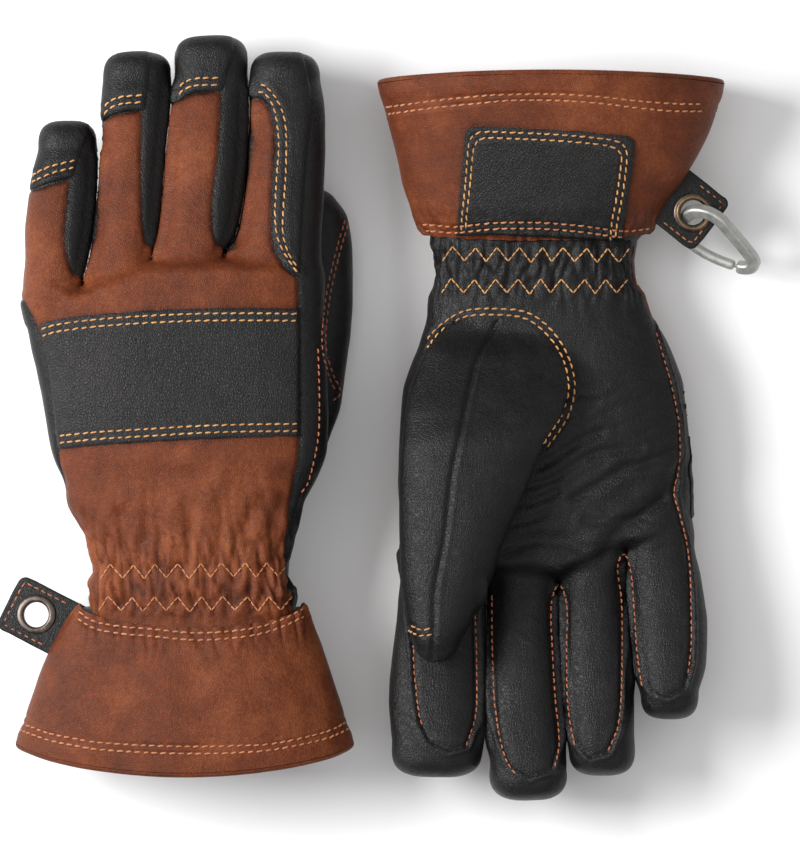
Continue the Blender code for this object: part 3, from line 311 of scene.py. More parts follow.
RIGHT = {
    "hand": [(215, 440, 622), (233, 431, 632), (243, 431, 634), (252, 433, 635), (262, 435, 631),
             (272, 437, 632), (288, 432, 641), (302, 428, 647), (316, 427, 653), (342, 420, 668),
             (370, 409, 679), (395, 403, 685), (436, 399, 690), (478, 398, 691), (520, 400, 689),
             (555, 401, 695), (600, 401, 699)],
    "fingers": {
        "index": {"rows": [(510, 401, 487), (550, 401, 487), (576, 400, 486), (620, 396, 486),
                           (650, 392, 485), (700, 389, 484), (740, 392, 482)],
                  "tip": 777, "cap": 14, "bend": 676},
        "middle": {"rows": [(510, 488, 557), (550, 488, 557), (583, 489, 556), (620, 487, 556),
                            (650, 487, 558), (700, 487, 561), (740, 487, 565), (762, 490, 567)],
                   "tip": 800, "cap": 14, "bend": 693},
        "ring": {"rows": [(500, 559, 625), (540, 559, 625), (583, 560, 622), (620, 561, 626),
                          (650, 562, 629), (700, 565, 635), (730, 569, 634)],
                 "tip": 775, "cap": 13, "bend": 668},
        "pinky": {"rows": [(490, 627, 692), (530, 627, 692), (553, 627, 695), (576, 629, 701),
                           (621, 632, 707), (660, 636, 706), (690, 640, 698)],
                  "tip": 719, "cap": 13, "bend": 636},
    },
    "crotch": {"index_middle": (487, 578), "middle_ring": (559, 584), "ring_pinky": (625, 554)},
    "thumb": [(318, 452, 520), (330, 436, 540), (356, 424, 561), (381, 414, 568), (415, 405, 562),
              (446, 401, 543), (480, 399, 528), (505, 399, 519), (537, 400, 505), (576, 401, 492),
              (613, 404, 476), (640, 411, 461)],
    "thumb_tip": 661,
    "eyelet": (693, 212.5), "eyelet_z": -6.6,
    "gauntlet": [(0.0, 419, 652), (0.2, 409, 664), (0.35, 402, 681), (0.5, 397, 695),
                 (0.75, 387, 714), (1.0, 377.5, 724)],
    "seam_y": (-0.5, 0.0, 2.4), "mouth_y": (-60.0, -64.5, -63.6),
    "palm": [(380, 215), (380, 450), (396, 520), (400, 560), (407, 612), (413, 650), (415, 690),
             (420, 722), (430, 741), (450, 750), (467, 745), (475, 722), (476, 690), (476, 660),
             (475, 615), (479, 588), (485, 580), (490, 588), (492, 620), (492, 660), (494, 705),
             (499, 738), (510, 764), (530, 776), (552, 768), (559, 745), (557, 715), (554, 670),
             (551, 620), (551, 596), (559, 584), (566, 596), (567, 625), (566.5, 670),
             (568, 710), (575, 742), (590, 757), (608, 752), (618, 728), (621, 700), (622, 650),
             (621, 600), (617, 566), (624, 554), (631, 564), (634, 600), (636, 645), (641, 676),
             (650, 690), (668, 696), (684, 688), (691, 662), (692, 630), (691, 590), (687, 545),
             (680, 520), (674, 497), (679, 478), (681, 450), (680, 420), (672, 380), (660, 340),
             (652, 312), (654, 290), (668, 250), (668, 215)],
    "keystone": [(405, 395), (415, 372), (426, 350), (441, 331), (465, 319), (497, 317),
                 (525, 322), (545, 338), (559, 360), (565, 385), (560, 410), (550, 428),
                 (541, 441)],
    "stitch_palm": [
        ([(385, 108), (410, 105), (435, 102), (475, 98), (510, 96), (560, 96), (600, 98.5),
          (635, 102), (670, 104.5), (702, 105)], "tan"),
        ([(386, 115), (410, 112), (435, 109), (475, 105), (510, 102), (560, 102), (600, 105),
          (635, 109), (670, 112), (704, 112)], "tan"),
        ([(461, 233), (462, 218), (465, 190), (467, 165), (469, 144), (474, 136), (484, 133),
          (520, 134), (560, 136), (600, 139.5), (618, 143), (625, 150), (626, 162), (622, 195),
          (617, 222), (615, 240)], "gold"),
        ([(465.5, 232), (467, 214), (470, 186), (472, 163), (474, 148), (478, 142), (486, 139),
          (520, 140), (560, 142), (600, 145.5), (614, 149), (620, 155), (620.5, 164),
          (616, 198), (611.5, 222), (610, 240)], "gold"),
        ([(420, 224), (440, 226), (457, 227), (475, 225), (500, 223), (540, 223), (580, 226),
          (610, 230), (630, 231), (652, 228)], "tan"),
        ([(421, 230), (440, 232), (457, 233), (475, 231), (500, 229), (540, 229), (580, 232),
          (610, 236), (630, 237), (650, 234)], "tan"),
        ([(427, 349), (441, 331), (465, 317), (497, 315), (526, 319), (547, 335), (562, 358),
          (568, 385), (563, 411), (552, 429), (541, 446)], "gold"),
        ([(426, 341), (441, 325), (465, 311), (498, 309), (528, 313), (551, 330), (567, 355),
          (574, 385), (569, 413), (558, 432), (546, 448)], "gold"),
        ([(409, 623), (420, 628.5), (433, 627)], "gold"),
        ([(408, 629), (420, 634.5), (433, 633)], "gold"),
        ([(655, 330), (664, 360), (673, 392), (679, 425), (680, 450), (678, 475), (674, 492),
          (680, 515), (686, 540), (690, 570), (691, 610), (690.5, 645), (687, 674)], "rust"),
        ([(642, 688), (637, 650), (634.5, 610), (631, 570), (624, 554), (617, 567), (621, 600),
          (622, 650), (621, 700), (617, 728), (607, 751)], "rust"),
        ([(575, 748), (568, 705), (567, 650), (567, 605), (559, 584), (551, 604), (552, 650),
          (555, 700), (559, 742), (554, 768)], "rust"),
        ([(518, 776), (505, 757), (496, 715), (492.5, 650), (492, 592)], "rust"),
        ([(475, 612), (476.5, 660), (476, 712), (466, 746)], "rust"),
        ([(413, 640), (415, 676), (419, 712), (423, 726)], "rust"),
    ],
    "zigzag_palm": [((442, 254), (630, 256)), ((441, 286), (628, 287))],
    "patch": [(465, 133), (471, 128), (520, 129.5), (580, 132.5), (626, 137), (633, 142),
              (634, 150), (630, 180), (625, 212), (621, 243), (600, 241), (560, 239), (500, 235),
              (457, 236), (458, 215), (461, 180)],
}


class Glove:
    def __init__(self, side, table):
        self.side, self.table = side, table
        self.S = side + "_"
        left = side == "left"
        self.sign = 1.0 if left else -1.0
        self.gx0, self.gy0 = (190, 620) if left else (550, 235)
        lo, hi = (np.array(v) * 1000 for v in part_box(self.S + "eyelet"))
        e = np.array([self.x(table["eyelet"][0]), self.y(table["eyelet"][1]), table["eyelet_z"]])
        self.eye = e
        self.origin = (lo + hi) / 2 - self.sign * e
        self.origin[2] = {"left": 46.4, "right": 22.0}[side]
        rows = []
        for gy, a, b in table["hand"]:
            x0, x1 = sorted((self.x(a), self.x(b)))
            y = self.y(gy)
            k = float(sstep(12, 72, y))
            m = float(sstep(-2, 8, y))
            rows.append((y, x0, x1, -17.0 - k * 1.4 + (1 - m) * 2.0, 13.5 + k * 5.5 - (1 - m) * 2.0))
        self.hand = Tube(rows, tip=400, cap=7.0, p=2.6, q=2.4)
        self.fingers = {}
        for name in FINGERS:
            f = table["fingers"][name]
            tip, base = self.y(f["tip"]), min(self.y(r[0]) for r in f["rows"]) + 6
            rows = []
            for gy, a, b in f["rows"]:
                x0, x1 = sorted((self.x(a), self.x(b)))
                y = self.y(gy)
                s = max(0.0, (y - base) / (tip - base))
                zc, ht = -0.6 - 15.0 * s**1.7, 13.6 - 1.5 * s
                rows.append((y, x0, x1, zc - ht, zc + ht))
            rows.sort()
            y_, x0, x1, z0, z1 = rows[0]
            rows[0] = (y_, x0 + 2.6, x1 - 2.6, z0 + 4.5, z1 - 4.5)
            self.fingers[name] = Tube(rows, tip=tip, cap=f["cap"] * 0.86, p=2.6, q=3.0)
        rows = []
        ys = [self.y(r[0]) for r in table["thumb"]]
        y0 = min(ys)
        for gy, a, b in table["thumb"]:
            x0, x1 = sorted((self.x(a), self.x(b)))
            y = self.y(gy)
            k = float(sstep(y0 - 4, y0 + 62, y))
            root = 5.0 * (1 - float(sstep(y0, y0 + 16, y)))
            rows.append((y, x0, x1, -19.5 - 24.5 * k + root, -20.4 if y > 78 else -14.0 - 6.4 * float(sstep(55, 78, y))))
        self.thumb = Tube(rows, tip=self.y(table["thumb_tip"]), cap=12, p=2.3, q=2.2)
        self.bend = {n: self.y(table["fingers"][n]["bend"]) for n in FINGERS}
        self.crotch = {k: (self.x(c[0]), self.y(c[1])) for k, c in table["crotch"].items()}
        order = ["ring_pinky", "middle_ring", "index_middle"]
        cx = [self.crotch[k][0] for k in order]
        cy = [self.crotch[k][1] for k in order]
        self.cr_x = np.array([cx[0] - 26] + cx + [cx[-1] + 30])
        self.cr_y = np.array([cy[0] - 1] + cy + [cy[-1] - 1]) - 1.6

    def x(self, gx):
        return (gx - self.gx0) * GRID * self.sign

    def y(self, gy):
        return (self.gy0 - gy) * GRID * self.sign

    def plan(self, pts):
        p = np.asarray(pts, float)
        return np.column_stack([self.x(p[:, 0]), self.y(p[:, 1])])

    def world(self, P):
        return (self.origin + self.sign * np.asarray(P, float)) / 1000

    def bisector(self, pair, y):
        """Plan x midway between two neighbouring fingers at y."""
        hi, lo = pair.split("_")
        a, ha, _, _ = self.fingers[lo].at(y)
        b, hb, _, _ = self.fingers[hi].at(y)
        return ((a + ha) + (b - hb)) / 2

    def field(self, x, y, z):
        cy = np.interp(x, self.cr_x, self.cr_y)
        hand = self.hand.field(x, y, z, tip=cy)
        hand = np.maximum(hand, -16.0 - y)
        out = None
        for i, n in enumerate(FINGERS):
            f = self.fingers[n].field(x, y, z)
            start = self.fingers[n].t[0, 0]
            f = np.maximum(f, start + 4 - y)
            if n != "index":
                b = self.bisector(FINGERS[i - 1] + "_" + n, y)
                f = np.maximum(f, x - b + 0.75)
            if n != "pinky":
                b = self.bisector(n + "_" + FINGERS[i + 1], y)
                f = np.maximum(f, b - x + 0.75)
            u = smin(hand, f, 4.0)
            out = u if out is None else np.minimum(out, u)
        th = np.maximum(self.thumb.field(x, y, z), self.thumb.t[0, 0] - y)
        y0 = self.thumb.t[0, 0]
        k = 1.0 + 11.0 * (1 - sstep(60, 88, y)) * sstep(y0 + 2, y0 + 26, y)
        merged = smin(out, th, k)
        return merged


# ------------------------------------------------------------------ meshes
def mesh_field(g):
    lo = np.array([-80.0, -13.0, -50.0])
    hi = np.array([80.0, 240.0, 24.0])
    xs = [f.t[:, 1].min() for f in list(g.fingers.values()) + [g.hand, g.thumb]]
    xe = [f.t[:, 2].max() for f in list(g.fingers.values()) + [g.hand, g.thumb]]
    lo[0], hi[0] = min(xs) - 4, max(xe) + 4
    hi[1] = max(f.tip for f in g.fingers.values()) + 4
    n = np.ceil((hi - lo) / VOXEL).astype(int) + 1
    # the field on a coarse grid, then exactly in a thin band round the surface
    step = 4
    m = [int(math.ceil((k - 1) / step)) + 1 for k in n]
    Fc = g.field((lo[0] + np.arange(m[0]) * VOXEL * step)[:, None, None],
                 (lo[1] + np.arange(m[1]) * VOXEL * step)[None, :, None],
                 (lo[2] + np.arange(m[2]) * VOXEL * step)[None, None, :]).astype(np.float32)
    F = Fc
    for ax in range(3):
        q = np.arange(n[ax]) / step
        i0 = np.minimum(q.astype(int), m[ax] - 2)
        w = (q - i0).astype(np.float32).reshape([-1 if k == ax else 1 for k in range(3)])
        F = np.take(F, i0, axis=ax) * (1 - w) + np.take(F, i0 + 1, axis=ax) * w
    near = np.abs(F) < 4.2
    ii = np.nonzero(near)
    pts = [lo[k] + ii[k] * VOXEL for k in range(3)]
    F[near] = g.field(pts[0], pts[1], pts[2])
    grid = vdb.FloatGrid(4.0)
    grid.copyFromArray(np.clip(F, -4, 4))
    P, T, Q = grid.convertToPolygons(isovalue=0.0, adaptivity=0.0)
    P = np.asarray(P, float) * VOXEL + lo
    T = np.vstack([np.asarray(Q)[:, [0, 1, 2]], np.asarray(Q)[:, [0, 2, 3]]]
                  + ([np.asarray(T)] if len(T) else []))
    log("polygons")
    for _ in range(2):
        P, N = project(g, P)
    P = relax(P, T, N)
    P, N = project(g, P)
    P, N = project(g, P)
    a, b, c = P[T[:, 0]], P[T[:, 1]], P[T[:, 2]]
    if (np.cross(b - a, c - a) * N[T[:, 0]]).sum() < 0:
        T = T[:, ::-1]
    log(g.side, "field mesh", len(P), len(T))
    return P, np.ascontiguousarray(T), N


def project(g, P):
    """Points moved onto the zero level of the field, and its unit gradients there."""
    e = 0.35
    G = np.zeros_like(P)
    for k in range(3):
        d = np.zeros(3)
        d[k] = e
        a, b = P + d, P - d
        G[:, k] = (g.field(a[:, 0], a[:, 1], a[:, 2]) - g.field(b[:, 0], b[:, 1], b[:, 2])) / (2 * e)
    L = np.maximum(np.linalg.norm(G, axis=1), 0.25)
    F = g.field(P[:, 0], P[:, 1], P[:, 2])
    step = np.clip(F / L, -0.5, 0.5)
    N = G / L[:, None]
    N /= np.maximum(np.linalg.norm(N, axis=1), 1e-9)[:, None]
    return P - N * step[:, None], N


def adjacency(T, n):
    e = np.vstack([T[:, [0, 1]], T[:, [1, 2]], T[:, [2, 0]]])
    e = np.unique(np.sort(e, axis=1), axis=0)
    return e


def smooth_scalar(v, e, n, rounds):
    deg = np.bincount(e.ravel(), minlength=n).astype(float)
    for _ in range(rounds):
        s = np.bincount(e[:, 0], weights=v[e[:, 1]], minlength=n) + np.bincount(
            e[:, 1], weights=v[e[:, 0]], minlength=n)
        v = 0.5 * v + 0.5 * s / np.maximum(deg, 1)
    return v


def relax(P, T, N):
    """Slides the points along the surface so that the triangles even out."""
    e = adjacency(T, len(P))
    deg = np.maximum(np.bincount(e.ravel(), minlength=len(P)), 1)[:, None]
    for _ in range(3):
        s = np.column_stack([
            np.bincount(e[:, 0], weights=P[e[:, 1], k], minlength=len(P))
            + np.bincount(e[:, 1], weights=P[e[:, 0], k], minlength=len(P)) for k in range(3)])
        d = s / deg - P
        d -= N * (d * N).sum(1, keepdims=True)
        P = P + 0.5 * d
    return P


def vertex_normals(P, T):
    a, b, c = P[T[:, 0]], P[T[:, 1]], P[T[:, 2]]
    f = np.cross(b - a, c - a)
    N = np.zeros_like(P)
    for k in range(3):
        for j in range(3):
            N[:, j] += np.bincount(T[:, k], weights=f[:, j], minlength=len(P))
    return N / np.maximum(np.linalg.norm(N, axis=1), 1e-12)[:, None]


def cut(D, T, s, snap=0.1):
    """Splits the triangles along s = 0. D holds one row of data per point."""
    s = np.where(np.abs(s) < snap, 0.0, s)
    sg = np.sign(s).astype(int)
    t = sg[T]
    mixed = (t.max(1) > 0) & (t.min(1) < 0)
    keep, M = T[~mixed], T[mixed]
    if not len(M):
        return D, T, s
    t = sg[M]
    zero = (t == 0).any(1)
    out = [keep]
    e = np.vstack([M[:, [0, 1]], M[:, [1, 2]], M[:, [2, 0]]])
    e = np.sort(e, axis=1)
    e = e[sg[e[:, 0]] * sg[e[:, 1]] < 0]
    e = np.unique(e, axis=0)
    w = s[e[:, 0]] / (s[e[:, 0]] - s[e[:, 1]])
    new = D[e[:, 0]] + (D[e[:, 1]] - D[e[:, 0]]) * w[:, None]
    n0 = len(D)
    key = e[:, 0].astype(np.int64) * (n0 + 1) + e[:, 1]

    def at(a, b):
        k = np.minimum(a, b).astype(np.int64) * (n0 + 1) + np.maximum(a, b)
        return n0 + np.searchsorted(key, k)

    B = M[zero]
    if len(B):
        r = np.argmax(sg[B] == 0, axis=1)
        i = np.arange(len(B))
        v0, v1, v2 = B[i, r], B[i, (r + 1) % 3], B[i, (r + 2) % 3]
        m = at(v1, v2)
        out += [np.column_stack([v0, v1, m]), np.column_stack([v0, m, v2])]
    A = M[~zero]
    if len(A):
        ta = sg[A]
        odd = np.where(ta.sum(1) > 0, -1, 1)
        r = np.argmax(ta == odd[:, None], axis=1)
        i = np.arange(len(A))
        v0, v1, v2 = A[i, r], A[i, (r + 1) % 3], A[i, (r + 2) % 3]
        a, b = at(v0, v1), at(v0, v2)
        out += [np.column_stack([v0, a, b]), np.column_stack([a, v1, v2]),
                np.column_stack([a, v2, b])]
    return np.vstack([D, new]), np.vstack(out), np.concatenate([s, np.zeros(len(new))])


made = []


def piece(name, P, T, g, mat, normals=None, rest=None, shading_and_edge_tint=None):
    """A named mesh object from hand-frame points (or world points when g is None)."""
    me = bpy.data.meshes.new(name)
    W = g.world(P) if g else np.asarray(P, float)
    F = T[:, ::-1] if (g and g.sign < 0) else T
    me.from_pydata(W.tolist(), [], F.tolist())
    me.materials.append(mat)
    me.polygons.foreach_set("use_smooth", np.ones(len(me.polygons), bool))
    a = me.attributes.new("rest_co", "FLOAT_VECTOR", "POINT")
    R = P if rest is None else rest
    R = np.asarray(R, float) + (0 if g is None or g.sign > 0 else 517.0)
    a.data.foreach_set("vector", (R / 1000).astype(np.float32).ravel())
    if shading_and_edge_tint is not None:
        a = me.attributes.new("shading_and_edge_tint", "FLOAT", "POINT")
        a.data.foreach_set("value", np.clip(shading_and_edge_tint, -1.5, 1.5).astype(np.float32))
    me.update()
    if normals is not None:
        me.normals_split_custom_set_from_vertices((normals * (g.sign if g else 1)).tolist())
    ob = bpy.data.objects.new(name, me)
    bpy.context.scene.collection.objects.link(ob)
    made.append(ob)
    return ob


def shell(name, P, T, N, g, mat, thick, wall_n=None, shading_and_edge_tint=None, rest=None):
    """A closed sheet of leather: an outer face, an inner face, and walls along its edges."""
    used, inv = np.unique(T, return_inverse=True)
    T = inv.reshape(T.shape)
    P, N = P[used], N[used]
    R = P if rest is None else rest[used]
    shading_and_edge_tint = np.zeros(len(P)) if shading_and_edge_tint is None else shading_and_edge_tint[used]
    n = len(P)
    e = np.vstack([T[:, [0, 1]], T[:, [1, 2]], T[:, [2, 0]]])
    code = e[:, 0].astype(np.int64) * n + e[:, 1]
    back = e[:, 1].astype(np.int64) * n + e[:, 0]
    edge = e[~np.isin(code, back)]
    inner = P - N * thick
    a, b = edge[:, 0], edge[:, 1]
    mid = (P[b] - P[a])
    out = np.cross(mid, N[a])
    out /= np.maximum(np.linalg.norm(out, axis=1), 1e-9)[:, None]
    acc = np.zeros((n, 3))
    np.add.at(acc, a, out)
    np.add.at(acc, b, out)
    rim = np.unique(edge)
    pos = -np.ones(n, int)
    pos[rim] = np.arange(len(rim))
    wn = acc[rim] / np.maximum(np.linalg.norm(acc[rim], axis=1), 1e-9)[:, None]
    m = len(rim)
    Pn = np.vstack([P, inner, P[rim], inner[rim]])
    Nn = np.vstack([N, -N, wn, wn])
    Rn = np.vstack([R, R - N * thick, R[rim], R[rim] - N[rim] * thick])
    # the inner face and the walls, the leather's dark cut edge, take the tint darker
    tn = np.concatenate([shading_and_edge_tint, shading_and_edge_tint - 0.6, shading_and_edge_tint[rim] - 0.5, shading_and_edge_tint[rim] - 0.8])
    w0, w1 = 2 * n + pos[a], 2 * n + pos[b]
    walls = np.vstack([np.column_stack([w1, w0, w0 + m]), np.column_stack([w1, w0 + m, w1 + m])])
    Tn = np.vstack([T, T[:, ::-1] + n, walls])
    return piece(name, Pn, Tn, g, mat, Nn, Rn, tn)


# ------------------------------------------------------------------ materials
def srgb(r, g, b):
    out = []
    for c in (r, g, b):
        c /= 255.0
        out.append(c / 12.92 if c <= 0.04045 else ((c + 0.055) / 1.055) ** 2.4)
    return (*out, 1.0)


class Nodes:
    def __init__(self, name):
        self.m = bpy.data.materials.new(name)
        self.m.use_nodes = True
        self.t = self.m.node_tree
        self.bsdf = self.t.nodes["Principled BSDF"]
        self.co = self.t.nodes.new("ShaderNodeAttribute")
        self.co.attribute_name = "rest_co"
        self.v = self.co.outputs["Vector"]

    def new(self, kind, **kw):
        n = self.t.nodes.new(kind)
        for k, v in kw.items():
            setattr(n, k, v)
        return n

    def link(self, a, b):
        self.t.links.new(a, b)

    def attr(self, name):
        n = self.new("ShaderNodeAttribute")
        n.attribute_name = name
        return n.outputs["Fac"]

    def scaled(self, sx, sy, sz):
        n = self.new("ShaderNodeVectorMath", operation="MULTIPLY")
        self.link(self.v, n.inputs[0])
        n.inputs[1].default_value = (sx, sy, sz)
        return n.outputs[0]

    def noise(self, mm, detail=3.0, rough=0.55, vector=None, distort=0.0):
        n = self.new("ShaderNodeTexNoise")
        n.inputs["Scale"].default_value = 1000.0 / mm
        n.inputs["Detail"].default_value = detail
        n.inputs["Roughness"].default_value = rough
        n.inputs["Distortion"].default_value = distort
        self.link(vector or self.v, n.inputs["Vector"])
        return n.outputs["Fac"]

    def voronoi(self, mm, feature="F1", vector=None, smooth=None):
        n = self.new("ShaderNodeTexVoronoi", feature=feature)
        n.inputs["Scale"].default_value = 1000.0 / mm
        if smooth is not None:
            n.inputs["Smoothness"].default_value = smooth
        self.link(vector or self.v, n.inputs["Vector"])
        return n.outputs["Distance"]

    def math(self, op, a, b=None, c=None, clamp=False):
        n = self.new("ShaderNodeMath", operation=op, use_clamp=clamp)
        for i, v in enumerate((a, b, c)):
            if v is None:
                continue
            if isinstance(v, (int, float)):
                n.inputs[i].default_value = v
            else:
                self.link(v, n.inputs[i])
        return n.outputs[0]

    def ramp(self, fac, stops):
        n = self.new("ShaderNodeValToRGB")
        el = n.color_ramp.elements
        while len(el) > len(stops):
            el.remove(el[-1])
        while len(el) < len(stops):
            el.new(1.0)
        for e, (p, c) in zip(el, stops):
            e.position, e.color = p, c
        self.link(fac, n.inputs["Fac"])
        return n.outputs["Color"]

    def mix(self, fac, a, b, mode="MIX"):
        n = self.new("ShaderNodeMix", data_type="RGBA", blend_type=mode)
        for sock, v in ((n.inputs[0], fac), (n.inputs[6], a), (n.inputs[7], b)):
            if isinstance(v, (int, float)):
                sock.default_value = v
            elif isinstance(v, tuple):
                sock.default_value = v
            else:
                self.link(v, sock)
        return n.outputs[2]

    def remap(self, v, a, b, c, d):
        n = self.new("ShaderNodeMapRange")
        self.link(v, n.inputs[0])
        for i, x in enumerate((a, b, c, d)):
            n.inputs[i + 1].default_value = x
        return n.outputs[0]

    def bump(self, height, dist_mm, strength=1.0, normal=None):
        n = self.new("ShaderNodeBump")
        n.inputs["Distance"].default_value = dist_mm / 1000.0
        n.inputs["Strength"].default_value = strength
        self.link(height, n.inputs["Height"])
        if normal is not None:
            self.link(normal, n.inputs["Normal"])
        return n.outputs["Normal"]


def leather(name, dark, mid, light, rough=(0.42, 0.62), grain=0.9, pebble=0.0, depth=0.10,
            wrinkle=0.12, spec=0.45, sheen=0.0):
    k = Nodes(name)
    big = k.noise(38, 2.0, 0.5)
    med = k.noise(9, 3.0, 0.6)
    fine = k.noise(1.6, 3.0, 0.65)
    v = k.math("ADD", k.math("MULTIPLY", big, 0.42), k.math("MULTIPLY", med, 0.30))
    v = k.math("ADD", v, k.math("MULTIPLY", fine, 0.28))
    # the per-point tint carries painted light and shade, and the darker cut edges, into the leather colour
    shading_and_edge_tint = k.attr("shading_and_edge_tint")
    v = k.math("ADD", v, k.math("MULTIPLY", shading_and_edge_tint, 0.22))
    col = k.ramp(v, [(0.22, dark), (0.5, mid), (0.80, light)])
    cell = k.voronoi(grain, "DISTANCE_TO_EDGE")
    pores = k.math("MINIMUM", k.math("MULTIPLY", cell, 3.2), 1.0)
    warp = k.scaled(1.0, 0.45, 1.0)
    cell2 = k.voronoi(grain * 2.1, "SMOOTH_F1", warp, 0.6)
    wr = k.noise(2.4, 4.0, 0.7, k.scaled(0.6, 1.6, 0.6), 0.6)
    shade = k.mix(k.math("MULTIPLY", k.math("SUBTRACT", 1.0, pores), 0.35 if not pebble else 0.5),
                  col, (0.0, 0.0, 0.0, 1.0))
    h = k.math("ADD", k.math("MULTIPLY", pores, 0.55),
               k.math("MULTIPLY", k.math("SUBTRACT", 1.0, cell2), 0.45))
    n1 = k.bump(wr, wrinkle, 0.8)
    turn = k.new("ShaderNodeVectorRotate", rotation_type="AXIS_ANGLE")
    turn.inputs["Axis"].default_value = (0.0, 0.0, 1.0)
    turn.inputs["Angle"].default_value = math.radians(28)
    k.link(k.v, turn.inputs["Vector"])
    lay = k.new("ShaderNodeVectorMath", operation="MULTIPLY")
    k.link(turn.outputs["Vector"], lay.inputs[0])
    lay.inputs[1].default_value = (0.28, 1.0, 0.5)
    cr = k.noise(4.6, 3.0, 0.6, lay.outputs[0], 0.4)
    cr = k.math("MINIMUM", k.math("MULTIPLY", k.math("ABSOLUTE", k.math("SUBTRACT", cr, 0.5)), 8.0), 1.0)
    where = k.remap(k.noise(34, 1.0, 0.5), 0.50, 0.66, 0.0, 1.0)
    crease = k.math("MULTIPLY", k.math("SUBTRACT", 1.0, cr), where)
    n1 = k.bump(k.math("SUBTRACT", 1.0, crease), 0.13 if not pebble else 0.05, 0.7, n1)
    # painted shade: the colour is darkened along the texture creases
    shade = k.mix(k.math("MULTIPLY", crease, 0.07 if not pebble else 0.03), shade, (0.0, 0.0, 0.0, 1.0))
    if pebble:
        pc = k.voronoi(pebble, "DISTANCE_TO_EDGE", k.scaled(1.0, 0.85, 1.0))
        pp = k.math("POWER", k.math("MINIMUM", k.math("MULTIPLY", pc, 2.6), 1.0), 0.6)
        n1 = k.bump(pp, depth * 2.0, 0.9, n1)
    n2 = k.bump(h, depth, 0.9, n1)
    k.link(n2, k.bsdf.inputs["Normal"])
    k.link(shade, k.bsdf.inputs["Base Color"])
    r = k.remap(k.math("ADD", k.math("MULTIPLY", fine, 0.6), k.math("MULTIPLY", med, 0.4)),
                0.3, 0.7, rough[0], rough[1])
    k.link(r, k.bsdf.inputs["Roughness"])
    k.bsdf.inputs["Specular IOR Level"].default_value = spec
    if sheen:
        k.bsdf.inputs["Sheen Weight"].default_value = sheen
        k.bsdf.inputs["Sheen Roughness"].default_value = 0.5
    k.m.diffuse_color = mid
    return k.m


def thread(name, dark, light):
    k = Nodes(name)
    w = k.noise(0.5, 2.0, 0.6, k.scaled(1.0, 1.0, 1.0))
    big = k.noise(12, 1.0, 0.5)
    v = k.math("ADD", k.math("MULTIPLY", w, 0.6), k.math("MULTIPLY", big, 0.4))
    k.link(k.ramp(v, [(0.3, dark), (0.65, light)]), k.bsdf.inputs["Base Color"])
    k.link(k.bump(w, 0.12, 0.7), k.bsdf.inputs["Normal"])
    k.bsdf.inputs["Roughness"].default_value = 0.62
    k.bsdf.inputs["Sheen Weight"].default_value = 0.25
    k.m.diffuse_color = light
    return k.m


def fleece(name, dark, light, rib=0.0):
    k = Nodes(name)
    a = k.noise(2.2, 4.0, 0.75)
    b = k.noise(14, 2.0, 0.5)
    v = k.math("ADD", k.math("MULTIPLY", a, 0.7), k.math("MULTIPLY", b, 0.3))
    k.link(k.ramp(v, [(0.3, dark), (0.7, light)]), k.bsdf.inputs["Base Color"])
    h = a
    if rib:
        w = k.new("ShaderNodeTexWave", wave_type="BANDS", bands_direction="Y")
        w.inputs["Scale"].default_value = 1000.0 / rib / 6.283
        k.link(k.v, w.inputs["Vector"])
        h = k.math("ADD", k.math("MULTIPLY", a, 0.3), w.outputs["Fac"])
    k.link(k.bump(h, 0.5, 0.8), k.bsdf.inputs["Normal"])
    k.bsdf.inputs["Roughness"].default_value = 0.95
    k.bsdf.inputs["Sheen Weight"].default_value = 0.4
    k.m.diffuse_color = light
    return k.m


def metal(name, dark, light, rough, scratch=0.06, metallic=1.0):
    k = Nodes(name)
    tex = k.new("ShaderNodeTexCoord")
    k.v = tex.outputs["Object"]
    a = k.noise(0.6, 4.0, 0.7)
    b = k.noise(3.5, 3.0, 0.6)
    v = k.math("ADD", k.math("MULTIPLY", a, 0.4), k.math("MULTIPLY", b, 0.6))
    k.link(k.ramp(v, [(0.3, dark), (0.7, light)]), k.bsdf.inputs["Base Color"])
    k.link(k.remap(b, 0.3, 0.7, rough - 0.07, rough + 0.1), k.bsdf.inputs["Roughness"])
    k.link(k.bump(a, scratch, 0.5), k.bsdf.inputs["Normal"])
    k.bsdf.inputs["Metallic"].default_value = metallic
    k.m.diffuse_color = light
    return k.m


